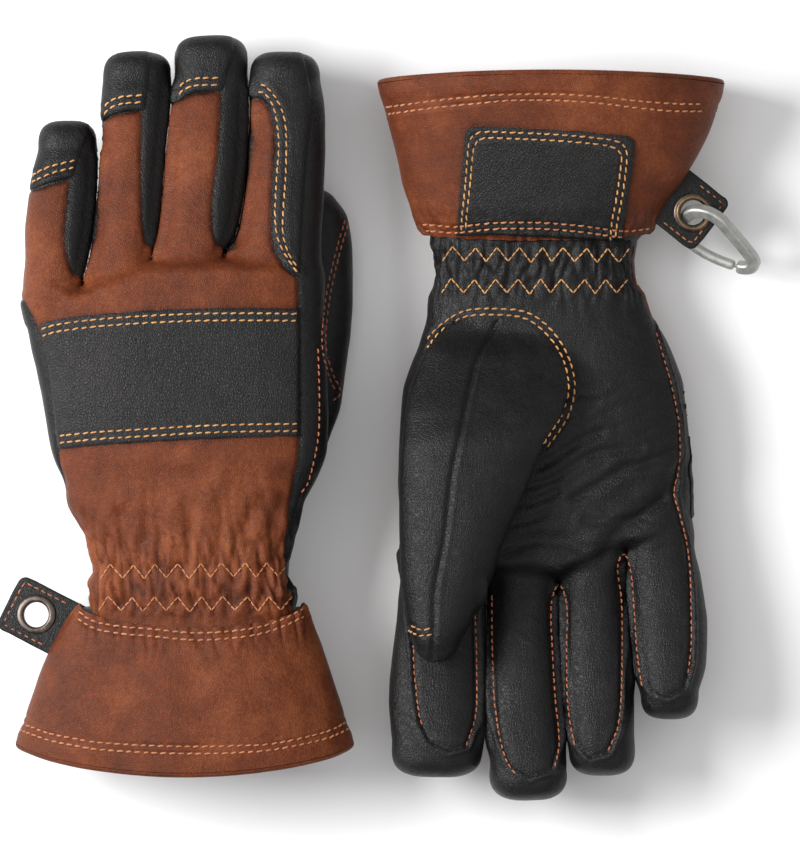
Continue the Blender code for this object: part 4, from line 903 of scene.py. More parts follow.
M = {
    "tan": leather("tan leather", srgb(48, 19, 9), srgb(108, 52, 26), srgb(157, 88, 50),
                   rough=(0.42, 0.56), grain=0.8, depth=0.24, wrinkle=0.22, spec=0.19),
    "black": leather("black leather", srgb(7, 7, 7), srgb(18, 17, 17), srgb(35, 34, 34),
                     rough=(0.38, 0.54), grain=1.0, depth=0.21, wrinkle=0.16, spec=0.24),
    "strap": leather("pebbled leather", srgb(12, 11, 11), srgb(28, 26, 26), srgb(48, 45, 44),
                     rough=(0.38, 0.54), grain=0.6, pebble=1.0, depth=0.10, wrinkle=0.10, spec=0.30),
    "gold": thread("gold thread", srgb(140, 84, 36), srgb(214, 158, 92)),
    "tan_thread": thread("tan thread", srgb(130, 70, 38), srgb(196, 128, 78)),
    "rust": thread("rust thread", srgb(120, 56, 28), srgb(184, 104, 60)),
    "fleece": fleece("lining fleece", srgb(12, 11, 11), srgb(34, 32, 31)),
    "elastic": fleece("elastic webbing", srgb(18, 18, 18), srgb(40, 40, 40), rib=1.4),
    "gunmetal": metal("gunmetal", srgb(52, 46, 43), srgb(104, 93, 86), 0.34),
    "brass": metal("aged brass", srgb(104, 80, 48), srgb(168, 134, 86), 0.36),
    "aluminium": metal("brushed aluminium", srgb(146, 146, 142), srgb(190, 190, 186), 0.44, metallic=0.65),
    "steel": metal("spring steel", srgb(120, 122, 126), srgb(176, 178, 182), 0.3),
}


# ------------------------------------------------------------------ one glove's skin
PALM, SIDE_I, SIDE_P, F_IM, F_MR, F_RP, BACK, STRAP, CAP, THUMB = range(10)
SIDE_NAMES = {SIDE_I: "index_side_panel", SIDE_P: "pinky_side_panel",
              F_IM: "fourchette_index_middle", F_MR: "fourchette_middle_ring",
              F_RP: "fourchette_ring_pinky"}


def nearest_finger(g, x, y):
    best, which = np.full(x.shape, 1e9), np.zeros(x.shape, int)
    sgn = np.zeros(x.shape)
    for i, n in enumerate(FINGERS):
        xc, hw, _, _ = g.fingers[n].at(y)
        d = np.abs(x - xc) / np.maximum(hw, 1)
        m = d < best
        best = np.where(m, d, best)
        which = np.where(m, i, which)
        sgn = np.where(m, x - xc, sgn)
    return which, sgn


class Regions:
    """Signed distances, positive inside, of every sewn region at points with normals."""

    def __init__(self, g):
        self.g = g
        t = g.table
        L = left_glove
        self.left = g.side == "left"
        if self.left:
            self.brown = g.plan(t["brown"])
            self.strap = g.plan(t["strap"])
            self.caps = {n: g.plan(t["caps"][n]) for n in FINGERS}
            k = right_table_plan("keystone")
            self.key = k + np.array([-1.0, 0.0])
            self.palm = None
        else:
            self.brown = None
            s = L.plan(LEFT["strap"])
            self.strap = s * np.array([1.02, 1.0]) + np.array([0.0, -6.0])
            self.palm = g.plan(t["palm"])
            self.key = g.plan(t["keystone"])
            d = (float(g.fingers["index"].at(170.0)[0]) - float(L.fingers["index"].at(180.0)[0]),
                 g.fingers["index"].tip - L.fingers["index"].tip)
            self.caps = {"index": L.plan(LEFT["caps"]["index"]) + np.array(d)}

    def at(self, D):
        g = self.g
        x, y, z, nz = D[:, 0], D[:, 1], D[:, 2], D[:, 5]
        out = {}
        key = poly_sdf(self.key, x, y)
        th = np.maximum(-19.4 - z, np.minimum(key, -7 - z))
        own = 3.5 - g.thumb.field(x, y, z)
        th = np.where(y > 84, np.minimum(-19.4 - z, own), th)
        out["thumb"] = th
        out["key"] = key
        out["strap"] = np.minimum(poly_sdf(self.strap, x, y), (nz + 0.3) * 14)
        if self.left:
            wrap = 0.22 + 0.85 * (1 - sstep(5, 22, y))
            wrap = wrap - np.where(x < 0, 0.92 * sstep(38, 76, y) * (1 - sstep(80, 96, y)), 0.0)
            out["brown"] = np.minimum(poly_sdf(self.brown, x, y), (nz + wrap) * 14)
            cap = np.full(len(D), -50.0)
            for n in FINGERS:
                cap = np.maximum(cap, poly_sdf(self.caps[n], x, y))
            out["cap"] = np.minimum(cap, (nz + 0.1) * 14)
            out["palm"] = (-nz - 0.32) * 13
        else:
            f, sx = nearest_finger(g, x, y)
            tips = np.array([g.fingers[n].tip for n in FINGERS])
            line = tips[f] - np.array([19.0, 21.0, 22.0, 24.0])[f] + 0.03 * sx**2
            cap = np.where(f == 0, -50.0, np.minimum(y - line, 60.0))
            cap = np.maximum(cap, np.where(f == 0, poly_sdf(self.caps["index"], x, y), -50.0))
            out["cap"] = np.minimum(cap, (nz - 0.05) * 14)
            wrist = (1 - sstep(28, 46, y)) * sstep(4, -8, x)
            c = 0.28 - 0.55 * wrist
            out["brown"] = np.minimum((nz - c) * 13, line - y + 2)
            out["brown"] = np.minimum(out["brown"], z + 12.5)
            out["palm"] = np.minimum(poly_sdf(self.palm, x, y), (-nz + 0.15) * 14)
        return out


def right_table_plan(key):
    return right_glove.plan(RIGHT[key])


def skin(g):
    P, T, N = mesh_field(g)
    D = np.hstack([P, N])
    reg = Regions(g)

    def drop(s_of):
        nonlocal D, T
        s = s_of(D)
        D, T, s = cut(D, T, s, 0.12)
        T = T[s[T].sum(1) > 0]

    drop(lambda D: D[:, 1] + 6.0)
    for key in ("thumb", "strap", "cap", "brown", "palm"):
        s = reg.at(D)[key]
        D, T, _ = cut(D, T, s, 0.12)
    for i, n in enumerate(FINGERS):
        which, _ = nearest_finger(g, D[:, 0], D[:, 1])
        s = D[:, 1] - (g.bend[n] - 13.0)
        s = np.where(which == i, s, np.where(D[:, 1] < g.bend[n] - 13.0, -5.0, 5.0))
        D, T, _ = cut(D, T, s, 0.12)
    used, inv = np.unique(T, return_inverse=True)
    T = inv.reshape(T.shape)
    D = D[used]
    log(g.side, "cut mesh", len(D), len(T))
    C = D[T].mean(1)
    R = reg.at(C)
    x, y, z, nz = C[:, 0], C[:, 1], C[:, 2], C[:, 5]
    which, sx = nearest_finger(g, x, y)
    bends = np.array([g.bend[n] for n in FINGERS]) - 13.0
    lab = np.full(len(T), SIDE_I)
    side = np.where(which == 0, np.where(sx > 0, SIDE_I, F_IM), 0)
    side = np.where(which == 1, np.where(sx > 0, F_IM, F_MR), side)
    side = np.where(which == 2, np.where(sx > 0, F_MR, F_RP), side)
    side = np.where(which == 3, np.where(sx > 0, F_RP, SIDE_P), side)
    low = min(c[1] for c in g.crotch.values()) - 22
    side = np.where(y < low, np.where(x > 0, SIDE_I, SIDE_P), side)
    lab = side.copy()
    lab[R["palm"] > 0] = PALM
    lab[(y < 30) & (R["palm"] <= 0)] = PALM
    lab[R["brown"] > 0] = BACK
    lab[R["cap"] > 0] = CAP
    lab[R["strap"] > 0] = STRAP
    lab[R["thumb"] > 0] = THUMB
    fing = np.where((y > bends[which]) & (lab != THUMB), which, -1)
    return D, T, lab, fing, reg


left_glove, right_glove = Glove("left", LEFT), Glove("right", RIGHT)
SURF = {"left": [], "right": []}


def ramp_in(s, lift):
    """Height of a laid-on layer at distance s inside its edge."""
    return lift * (0.55 + 0.45 * sstep(0.0, 1.3, s))


def relief(g, D, R):
    """Normal displacement of the skin in mm, and its tint of painted light and shade: darker in folds, seams and under
    raised edges, lighter on ridges.
    """
    P = D[:, :3]
    x, y, z, nz = D[:, 0], D[:, 1], D[:, 2], D[:, 5]
    flat = np.clip(np.abs(nz), 0.35, 1)
    d = np.zeros(len(P))
    shading_and_edge_tint = np.zeros(len(P))
    seed = 3.0 if g.side == "left" else 11.0
    # the whole skin: broad hollows and soft unevenness
    body = sstep(30, 60, y)
    d += 0.55 * vnoise(P, 26, seed) * (0.4 + 0.6 * body)
    d += 0.22 * vnoise(P, 9, seed + 5)
    # gathers at the elastic wrist
    q = np.column_stack([x / 3.3, y / 13.0, z / 3.3]) + seed
    a = np.abs(vnoise(q, 1.0, 0.0))
    q2 = np.column_stack([x / 5.6, y / 26.0, z / 5.6]) + seed + 9
    b = np.abs(vnoise(q2, 1.0, 0.0))
    if g.side == "left":
        env = sstep(-4, 7, y) * (1 - sstep(21, 44, y))
        wide = sstep(-4, 10, y) * (1 - sstep(34, 66, y))
    else:
        env = 0.85 * sstep(-4, 6, y) * (1 - sstep(20, 30, y))
        wide = 0.6 * sstep(-4, 10, y) * (1 - sstep(24, 40, y))
    gather = (np.minimum(a * 3.0, 1.0) ** 0.8 - 0.5)
    d += 1.7 * env * gather
    d += 1.1 * wide * (np.minimum(b * 2.4, 1.0) - 0.55)
    # painted shade in the gather hollows and a painted highlight on their tops
    shading_and_edge_tint += env * np.clip(gather * 1.5, -1.1, 0.3)
    for row in g.table["zigzag_back"] + g.table.get("zigzag_palm", []) if g.side == "left" else g.table["zigzag_palm"]:
        yc = g.y((row[0][1] + row[1][1]) / 2)
        d -= 0.75 * np.exp(-((y - yc) / 2.6) ** 2)
    d += 0.8 * np.exp(-((y - 12.5) / 4.0) ** 2) * (gather + 0.5)
    # seams
    off = (lab_dist(g, D, R, "brown"), lab_dist(g, D, R, "palm"))
    dorsal = sstep(-0.5, -0.1, nz)
    sb = np.abs(off[0]) / flat
    sp = np.abs(off[1]) / flat
    th = R["thumb"]
    not_thumb = th < 0
    gb = dorsal * sstep(-2, 14, y) * not_thumb
    d -= gb * (0.55 * np.exp(-(sb / 0.9) ** 2) + 0.45 * np.exp(-sb / 3.2))
    # painted shade along the seam groove
    shading_and_edge_tint -= gb * 0.9 * np.exp(-(sb / 1.3) ** 2)
    gp = sstep(28, 44, y) * not_thumb * sstep(0.35, 0.0, nz)
    d -= gp * (0.45 * np.exp(-(sp / 0.8) ** 2) + 0.35 * np.exp(-sp / 3.0))
    lip = gp * (off[1] < 0)
    d += lip * 1.25 * np.exp(-((sp - 1.3) / 0.75) ** 2)
    # painted highlight on the lip beside the palm seam
    shading_and_edge_tint += lip * 0.5 * np.exp(-((sp - 1.3) / 0.7) ** 2)
    # layers laid on: their edges stand over the leather beneath
    st, cp = R["strap"], R["cap"]
    fade = sstep(0.0, 0.35, nz)
    strap_up = ramp_in(np.maximum(st, 0), 0.95) - 0.55 * d * sstep(-2.0, 0.0, st)
    cap_up = fade * ramp_in(np.maximum(cp, 0), 0.75)
    near = not_thumb * sstep(-0.35, -0.15, nz)
    d -= near * 0.30 * np.exp(np.minimum(st, 0) / 2.0) * (st < 0.5)
    # painted shadow on the leather just outside the strap's and the caps' raised edges
    shading_and_edge_tint -= near * (st < 1e-6) * 0.7 * np.exp(np.minimum(st, 0) / 1.2)
    d -= near * fade * 0.2 * np.exp(np.minimum(cp, 0) / 1.6) * (cp < 0.5)
    shading_and_edge_tint -= near * fade * (cp < 1e-6) * 0.6 * np.exp(np.minimum(cp, 0) / 1.0)
    # stitch rows press the leather down
    rows = g.table.get("stitch_back", []) if g.side == "left" else g.table["stitch_palm"]
    face = (nz > 0.1) if g.side == "left" else (nz < -0.1)
    lo_y = -3.0
    m = face & (y > lo_y)
    idx = np.where(m)[0]
    dist = np.full(len(P), 9.0)
    for line, col in rows:
        pl = catmull(g.plan(line), 2.0)
        if pl[:, 1].max() < lo_y:
            continue
        box = ((x[idx] > pl[:, 0].min() - 3) & (x[idx] < pl[:, 0].max() + 3)
               & (y[idx] > pl[:, 1].min() - 3) & (y[idx] < pl[:, 1].max() + 3))
        sel = idx[box]
        if len(sel):
            dist[sel] = np.minimum(dist[sel], line_dist(pl, x[sel], y[sel]))
    pr = np.exp(-(dist / 0.9) ** 2)
    pk = vnoise(P, 1.5, seed + 2)
    d -= pr * (0.22 + 0.16 * pk)
    d += 0.16 * np.exp(-((dist - 1.6) / 0.8) ** 2) * (1 + pk)
    # flex creases across the fingers and the palm
    pal = sstep(0.1, -0.5, nz) * (0.35 if g.side == "left" else 1.0)
    q = np.column_stack([x / 11.0, y / 2.3, z / 11.0]) + seed * 1.7
    w = vnoise(q, 1.0, 0.0)
    zone = sstep(70, 96, y)
    d += pal * zone * 0.17 * w
    # painted shade in the flex crease hollows, painted highlight on their ridges
    shading_and_edge_tint += pal * zone * 0.22 * w
    q = np.column_stack([(x + 0.5 * y) / 17.0, (y - 0.35 * x) / 5.2, z / 17.0]) + seed * 0.6
    w2 = vnoise(q, 1.0, 0.0)
    mid = sstep(34, 60, y) * (1 - sstep(120, 140, y))
    d += pal * mid * 0.26 * (np.minimum(np.abs(w2) * 3.0, 1.0) - 0.5) * (th < 0)
    if g.side == "right":
        d, shading_and_edge_tint = right_creases(g, x, y, z, nz, th, d, shading_and_edge_tint)
    else:
        d, shading_and_edge_tint = left_creases(g, x, y, z, nz, th, d, shading_and_edge_tint)
    return d, shading_and_edge_tint, strap_up, cap_up


def close_gaps(g, D, P):
    """Neighbouring fingers lean on each other: their facing sides meet near the line between."""
    P = P.copy()
    x, y, nx = D[:, 0], D[:, 1], D[:, 3]
    which, _ = nearest_finger(g, x, y)
    for i in range(3):
        pair = FINGERS[i] + "_" + FINGERS[i + 1]
        cx, cy = g.crotch[pair]
        b = g.bisector(pair, np.maximum(y, cy - 2.0))
        for k, sgn in ((i, 1.0), (i + 1, -1.0)):
            s = (x - b) * sgn
            end = min(g.fingers[FINGERS[i]].tip, g.fingers[FINGERS[i + 1]].tip)
            w = (sstep(0.35, 0.8, -nx * sgn) * (1 - sstep(1.6, 4.0, s)) * sstep(cy - 3.0, cy + 1.5, y)
                 * (which == k) * (s > -0.5) * (1 - sstep(end - 17.0, end - 8.0, y)))
            P[:, 0] -= sgn * w * (s - 0.04)
            low = (which == k) & (y > cy + 3) & (s > -0.5) & (s < 6)
            sp = (P[:, 0] - b) * sgn
            P[:, 0] += np.where(low & (sp < 0.03), (0.03 - sp) * sgn, 0.0)
    return P


def right_creases(g, x, y, z, nz, th, d, shading_and_edge_tint):
    pal = nz < 0.1
    seam = catmull(g.plan([(497, 322), (477, 360), (462, 425), (452, 475), (445, 535), (435, 590),
                           (434, 625), (432, 657)]), 2.0)
    m = np.where((th > -2) & pal)[0]
    s = line_dist(seam, x[m], y[m])
    side = np.interp(y[m], seam[:, 1], seam[:, 0]) - x[m]
    d[m] -= 1.15 * np.exp(-(s / 0.8) ** 2) + 0.2 * np.exp(-s / 2.0)
    d[m] += np.where(side > 0, 0.42, 0.05) * np.exp(-((s - 1.6) / 0.7) ** 2)
    # painted shade line down the groove of the thumb's centre seam
    shading_and_edge_tint[m] -= 1.5 * np.exp(-(s / 0.8) ** 2)
    lines = [
        # soft folds of the palm: (points, depth, width)
        ([(683, 470), (668, 492), (645, 512), (622, 530), (606, 548)], 1.2, 3.2),
        ([(664, 500), (640, 516), (612, 522), (585, 520)], 0.6, 1.6),
        ([(672, 452), (650, 462), (622, 470), (596, 486), (575, 498)], 0.8, 2.0),
        ([(640, 448), (615, 450), (590, 456), (566, 470)], 0.6, 1.6),
        ([(600, 432), (580, 440), (560, 454), (540, 466)], 0.7, 1.8),
        ([(560, 475), (545, 482), (530, 486), (515, 488)], 0.6, 1.5),
        ([(556, 492), (536, 500), (516, 503)], 0.7, 1.8),
        ([(545, 512), (530, 520), (512, 524)], 0.6, 1.7),
        ([(505, 548), (540, 540), (575, 545), (600, 560)], 1.0, 3.0),
        ([(566, 392), (580, 400), (596, 402)], 0.5, 1.4),
        ([(570, 380), (585, 385), (604, 384)], 0.4, 1.3),
    ]
    m = np.where((th < 0) & pal)[0]
    for pts, depth, width in lines:
        pl = catmull(g.plan(pts), 2.0)
        s = line_dist(pl, x[m], y[m])
        d[m] -= depth * np.exp(-(s / width) ** 2)
        d[m] += 0.35 * depth * np.exp(-((s - 2.0 * width) / width) ** 2)
    return d, shading_and_edge_tint


def left_creases(g, x, y, z, nz, th, d, shading_and_edge_tint):
    dors = nz > 0
    lines = [
        ([(30, 300), (45, 296), (62, 298)], 0.5, 1.5),
        ([(60, 284), (75, 290), (90, 288)], 0.5, 2.0),
        ([(110, 470), (150, 478), (200, 474), (250, 480)], 0.4, 5.0),
        ([(240, 560), (246, 530), (262, 500)], 0.7, 2.6),
        ([(190, 560), (192, 535), (186, 505)], 0.5, 2.6),
        ([(140, 565), (132, 540), (122, 515)], 0.6, 2.6),
        ([(275, 555), (272, 530), (283, 500)], 0.7, 2.4),
        ([(225, 555), (222, 520), (228, 490)], 0.4, 3.2),
        ([(100, 190), (112, 200), (128, 203)], 0.3, 2.0),
    ]
    m = np.where((th < 0) & dors)[0]
    for pts, depth, width in lines:
        pl = catmull(g.plan(pts), 2.0)
        s = line_dist(pl, x[m], y[m])
        d[m] -= depth * np.exp(-(s / width) ** 2)
        d[m] += 0.35 * depth * np.exp(-((s - 2.0 * width) / width) ** 2)
    return d, shading_and_edge_tint


def lab_dist(g, D, R, key):
    return R[key]


def build_skin(g):
    D, T, lab, fing, reg = skin(g)
    R = reg.at(D)
    d, shading_and_edge_tint, strap_up, cap_up = relief(g, D, R)
    e = adjacency(T, len(D))
    d = smooth_scalar(d, e, len(D), 1)
    N = D[:, 3:6]
    P = close_gaps(g, D, D[:, :3] + N * d[:, None])
    NV = vertex_normals(P, T)
    lifted = {STRAP: P + N * strap_up[:, None], CAP: P + N * cap_up[:, None]}
    rest = D[:, :3]
    S = g.S
    hand, gaunt = S + "hand", S + "gauntlet"

    def out(name, mask, mat, cat, nodes, slot, thick=1.2):
        if not mask.any():
            return None
        t = T[mask]
        Q, nn, tl = P, NV, thick
        if name.endswith(("strap", "cap")):
            Q = lifted[STRAP if name.endswith("strap") else CAP]
            nv = vertex_normals(Q, t)
            has = np.linalg.norm(nv, axis=1) > 0.5
            nn = np.where(has[:, None], nv, NV)
            tl = 2.0
        ob = shell(S + name, Q, t, nn, g, mat, tl, shading_and_edge_tint=shading_and_edge_tint, rest=rest)
        place(ob, g, cat)
        if nodes:
            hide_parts(*[S + n for n in nodes])
        SURF[g.side].append((g.world(Q), t, cat))
        return ob

    handpart = fing < 0
    out("back_leather", (lab == BACK) & handpart, M["tan"], "wrist",
        ["back_panel", "wrist_gather_back"], "tan_leather")
    out("palm_leather", (lab == PALM) & handpart, M["black"], "wrist",
        ["palm_panel", "wrist_gather_palm"], "black_leather")
    for k, n in SIDE_NAMES.items():
        out(n + "_leather", (lab == k) & handpart, M["black"], "wrist", [n], "black_leather")
    out("knuckle_strap_panel_strap", lab == STRAP, M["strap"], "hand", ["knuckle_strap"],
        "strap_leather")
    out("index_long_cap", (lab == CAP) & handpart, M["black"], "hand", [], "black_leather")
    for i, n in enumerate(FINGERS):
        m = fing == i
        out(n + "_back_leather", (lab == BACK) & m, M["tan"], n, [], "tan_leather")
        out(n + "_tip_cap", (lab == CAP) & m, M["black"], n, [n + "_tip_cap"], "black_leather")
        out(n + "_tip_front", (lab == PALM) & m, M["black"], n, [n + "_tip_front"],
            "black_leather")
        out(n + "_tip_sides", np.isin(lab, list(SIDE_NAMES)) & m, M["black"], n, [],
            "black_leather")
    seam_x = thumb_seam(g)
    C = D[T].mean(1)
    front = C[:, 0] < seam_x(C[:, 1])
    m = lab == THUMB
    palmar = C[:, 5] < 0.15
    out("thumb_front", m & front & palmar, M["black"], "thumb", ["thumb_front"], "black_leather")
    out("thumb_back", m & ~(front & palmar), M["black"], "thumb", ["thumb_back"],
        "black_leather")
    log(g.side, "skin pieces done")


def thumb_seam(g):
    seam = right_glove.plan([(497, 322), (477, 360), (462, 425), (452, 475), (445, 535),
                             (435, 590), (434, 625), (432, 657)])
    return lambda y: np.interp(y, seam[:, 1], seam[:, 0])


def place(ob, g, cat):
    """Rides a piece on its body; a piece that spans a joint is baked where it lies, unparented."""
    hand, gaunt = g.S + "hand", g.S + "gauntlet"
    if cat == "gauntlet":
        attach(ob, gaunt)
    elif cat == "hand":
        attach(ob, hand)
    elif cat == "wrist":
        tuple(g.world((0, 3.0, 0)))
        tuple(g.world((0, 27.0, 0)))
        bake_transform(ob)
    elif cat == "thumb":
        tuple(g.world((0, 86.0, 0)))
        tuple(g.world((0, 118.0, 0)))
        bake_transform(ob)
    elif cat == "tab":
        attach(ob, g.S + "tab")
    else:
        y = g.bend[cat]
        tuple(g.world((0, y - 12.0, 0)))
        tuple(g.world((0, y + 12.0, 0)))
        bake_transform(ob)


# ------------------------------------------------------------------ gauntlets
class Cuff:
    def __init__(self, g):
        self.g = g
        self.gt = np.array(g.table["gauntlet"], float)
        self.left = g.side == "left"

    def point(self, t, a, grow=0.0):
        g, gt = self.g, self.gt
        t, a = np.asarray(t, float), np.asarray(a, float)
        tc = np.clip(t, 0, 1)
        xa, xb = g.x(pchip(gt[:, 0], gt[:, 1], tc)), g.x(pchip(gt[:, 0], gt[:, 2], tc))
        x0, x1 = np.minimum(xa, xb), np.maximum(xa, xb)
        pull = (1 - sstep(0.0, 0.22, tc))
        xc, hw = (x0 + x1) / 2, (x1 - x0) / 2 + grow - 0.3 * pull
        zc = -3.0 - 9.0 * tc + 0.6 * pull
        ht = 18.6 + 9.4 * tc + grow - 2.6 * pull
        p = 2.25
        ca, sa = np.cos(a), np.sin(a)
        r = (np.abs(ca) ** p + np.abs(sa) ** p) ** (-1 / p)

        def ring(ys, e):
            k = np.abs(sa) ** e
            return ys[0] + (np.where(sa > 0, ys[1], ys[2]) - ys[0]) * k

        y = (1 - t) * ring(g.table["seam_y"], 1.2) + t * ring(g.table["mouth_y"], 1.7)
        return np.stack([xc + hw * r * ca, y, zc + ht * r * sa], -1)


def grid_tris(n, m, closed=True):
    i, j = np.meshgrid(np.arange(n - 1), np.arange(m if closed else m - 1), indexing="ij")
    j2 = (j + 1) % m
    a, b, c, d = i * m + j, i * m + j2, (i + 1) * m + j2, (i + 1) * m + j
    return np.vstack([np.column_stack([a.ravel(), b.ravel(), c.ravel()]),
                      np.column_stack([a.ravel(), c.ravel(), d.ravel()])])


def face_out(P, T, outward):
    a, b, c = P[T[:, 0]], P[T[:, 1]], P[T[:, 2]]
    if (np.cross(b - a, c - a) * outward((a + b + c) / 3)).sum() < 0:
        T = T[:, ::-1]
    return np.ascontiguousarray(T)


def build_gauntlet(g):
    S, cuff = g.S, Cuff(g)
    n, m = 116, 520
    t = np.linspace(0, 1, n)
    a = np.arange(m) * 2 * math.pi / m
    A, Tt = np.meshgrid(a, t)
    P = cuff.point(Tt, A).reshape(-1, 3)
    T = face_out(P, grid_tris(n, m), lambda c: np.column_stack([c[:, 0], 0 * c[:, 0], c[:, 2] + 8]))
    N = vertex_normals(P, T)
    D = np.hstack([P, N, Tt.reshape(-1, 1), A.reshape(-1, 1)])
    patch = g.plan(g.table["patch"])

    def patch_s(D):
        return np.minimum(poly_sdf(patch, D[:, 0], D[:, 1]), (-D[:, 5] + 0.1) * 20)

    D, T, _ = cut(D, T, patch_s(D), 0.1)
    P, N = D[:, :3], D[:, 3:6]
    N = N / np.linalg.norm(N, axis=1)[:, None]
    x, y, z, tt, aa = P[:, 0], P[:, 1], P[:, 2], D[:, 6], D[:, 7]
    seed = 21.0 if g.side == "left" else 33.0
    d = 0.9 * vnoise(P, 30, seed) + 0.35 * vnoise(P, 11, seed + 3)
    # pleats that run out from the gathered wrist
    q = np.column_stack([x / 4.6, y / 22.0, z / 4.6]) + seed
    w = np.abs(vnoise(q, 1.0, 0.0))
    env = 1 - sstep(0.0, 0.30, tt)
    d += 1.0 * env * (np.minimum(w * 2.4, 1) - 0.5)
    # painted shade in the pleat hollows, slightly lighter on their tops
    shading_and_edge_tint = env * 0.4 * (np.minimum(w * 2.4, 1) - 0.6)
    q = np.column_stack([x / 15.0 + y / 40.0, y / 30.0, z / 15.0]) + seed + 7
    d += 0.7 * vnoise(q, 1.0, 0.0) * sstep(0.05, 0.3, tt)
    ymouth = cuff.point(np.ones(len(P)), aa)[:, 1]
    hem = y - ymouth
    d += 0.35 * np.exp(-((hem - 4.0) / 2.6) ** 2)
    for h in (8.0, 11.0):
        d -= 0.22 * np.exp(-((hem - h) / 0.9) ** 2)
    q = np.column_stack([x / 2.6, y / 9.0, z / 2.6]) + seed + 1
    d += 0.16 * vnoise(q, 1.0, 0.0) * np.exp(-((hem - 8.0) / 5.0) ** 2)
    side = np.minimum(np.abs(np.sin(aa)), 1.0) * np.where(np.abs(np.cos(aa)) > 0.7, 1, 9) * 50
    d -= 0.5 * np.exp(-(side / 1.0) ** 2)
    # painted shade along the fold at each side of the cuff
    shading_and_edge_tint -= 0.5 * np.exp(-(side / 1.2) ** 2)
    s = patch_s(D)
    on = s >= -1e-6
    lift = ramp_in(np.maximum(s, 0), 0.95) - 0.4 * d * sstep(-2.0, 0.0, s)
    d = d - 0.25 * np.exp(np.minimum(s, 0) / 2.0) * (s < 0.5)
    # painted shadow on the leather just outside the raised patch's edge
    shading_and_edge_tint -= np.where(on, 0, 0.7 * np.exp(s / 1.2))
    rows = g.table["stitch_back"] if g.side == "left" else g.table["stitch_palm"]
    sign = 1 if g.side == "left" else -1
    m_ = np.where(N[:, 2] * sign > 0)[0]
    dist = np.full(len(P), 9.0)
    for line, col in rows:
        pl = catmull(g.plan(line), 2.0)
        if pl[:, 1].min() > 0:
            continue
        dist[m_] = np.minimum(dist[m_], line_dist(pl, x[m_], y[m_]))
    pk = vnoise(P, 1.6, seed + 2)
    d -= np.exp(-(dist / 0.9) ** 2) * (0.2 + 0.15 * pk)
    d += 0.15 * np.exp(-((dist - 1.6) / 0.8) ** 2) * (1 + pk)
    # the sewn top edge turns in against the wrist
    d -= 0.7 * (1 - sstep(0.0, 0.03, tt))
    rest = P.copy()
    P = P + N * d[:, None]
    NV = vertex_normals(P, T)
    raised = P + N * lift[:, None]
    C = D[T].mean(1)
    cs = patch_s(C)
    back = C[:, 2] > cuff_mid(cuff, C)
    lab_patch = cs > 0
    for name, mask, mat, slot, tl in (
            ("gauntlet_back", back & ~lab_patch, M["tan"], "tan_leather", 1.3),
            ("gauntlet_palm", ~back & ~lab_patch, M["tan"], "tan_leather", 1.3),
            ("gauntlet_patch", lab_patch, M["strap"], "strap_leather", 1.9)):
        tri = T[mask]
        Q, nn = P, NV
        if name == "gauntlet_patch":
            Q = raised
            nv = vertex_normals(Q, tri)
            nn = np.where((np.linalg.norm(nv, axis=1) > 0.5)[:, None], nv, NV)
        ob = shell(S + name, Q, tri, nn, g, mat, tl, shading_and_edge_tint=shading_and_edge_tint, rest=rest)
        place(ob, g, "gauntlet")
        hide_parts(S + name)
        SURF[g.side].append((g.world(Q), tri, "gauntlet"))
    # rolled hem: the leather turns over the mouth and runs back inside
    m = 320
    a = np.arange(m) * 2 * math.pi / m
    prof = []
    for k in range(9):
        q = math.pi * k / 8
        prof.append((-0.2 - 1.7 * math.sin(q), 1.05 * math.cos(q) - 1.0))
    prof += [(1.0, -2.3), (4.0, -2.6), (8.0, -2.8), (12.0, -2.9), (12.3, -3.7), (11.0, -4.2)]
    rings = []
    for dy, dg in prof:
        q = cuff.point(np.ones(m), a)
        step_t = np.clip(dy, 0, None) / 60.0
        base = cuff.point(1 - step_t, a)
        nrm = cuff_normal(cuff, 1 - step_t, a)
        dd = 0.9 * vnoise(base, 30, seed) + 0.35 * vnoise(base, 11, seed + 3)
        qq = np.column_stack([base[:, 0] / 15.0 + base[:, 1] / 40.0, base[:, 1] / 30.0,
                              base[:, 2] / 15.0]) + seed + 7
        dd += 0.7 * vnoise(qq, 1.0, 0.0)
        low = base + nrm * (dg + dd)[:, None]
        low[:, 1] = base[:, 1] + min(dy, 0.0)
        rings.append(low)
    P2 = np.vstack(rings)
    T2 = grid_tris(len(prof), m)
    T2 = orient_strip(P2, T2, rings, m)
    # the rolled hem is painted slightly darker, painted shade where the leather turns under
    ob = piece(S + "hem_roll", P2, T2, g, M["tan"], vertex_normals(P2, T2), P2,
               np.full(len(P2), -0.1))
    place(ob, g, "gauntlet")
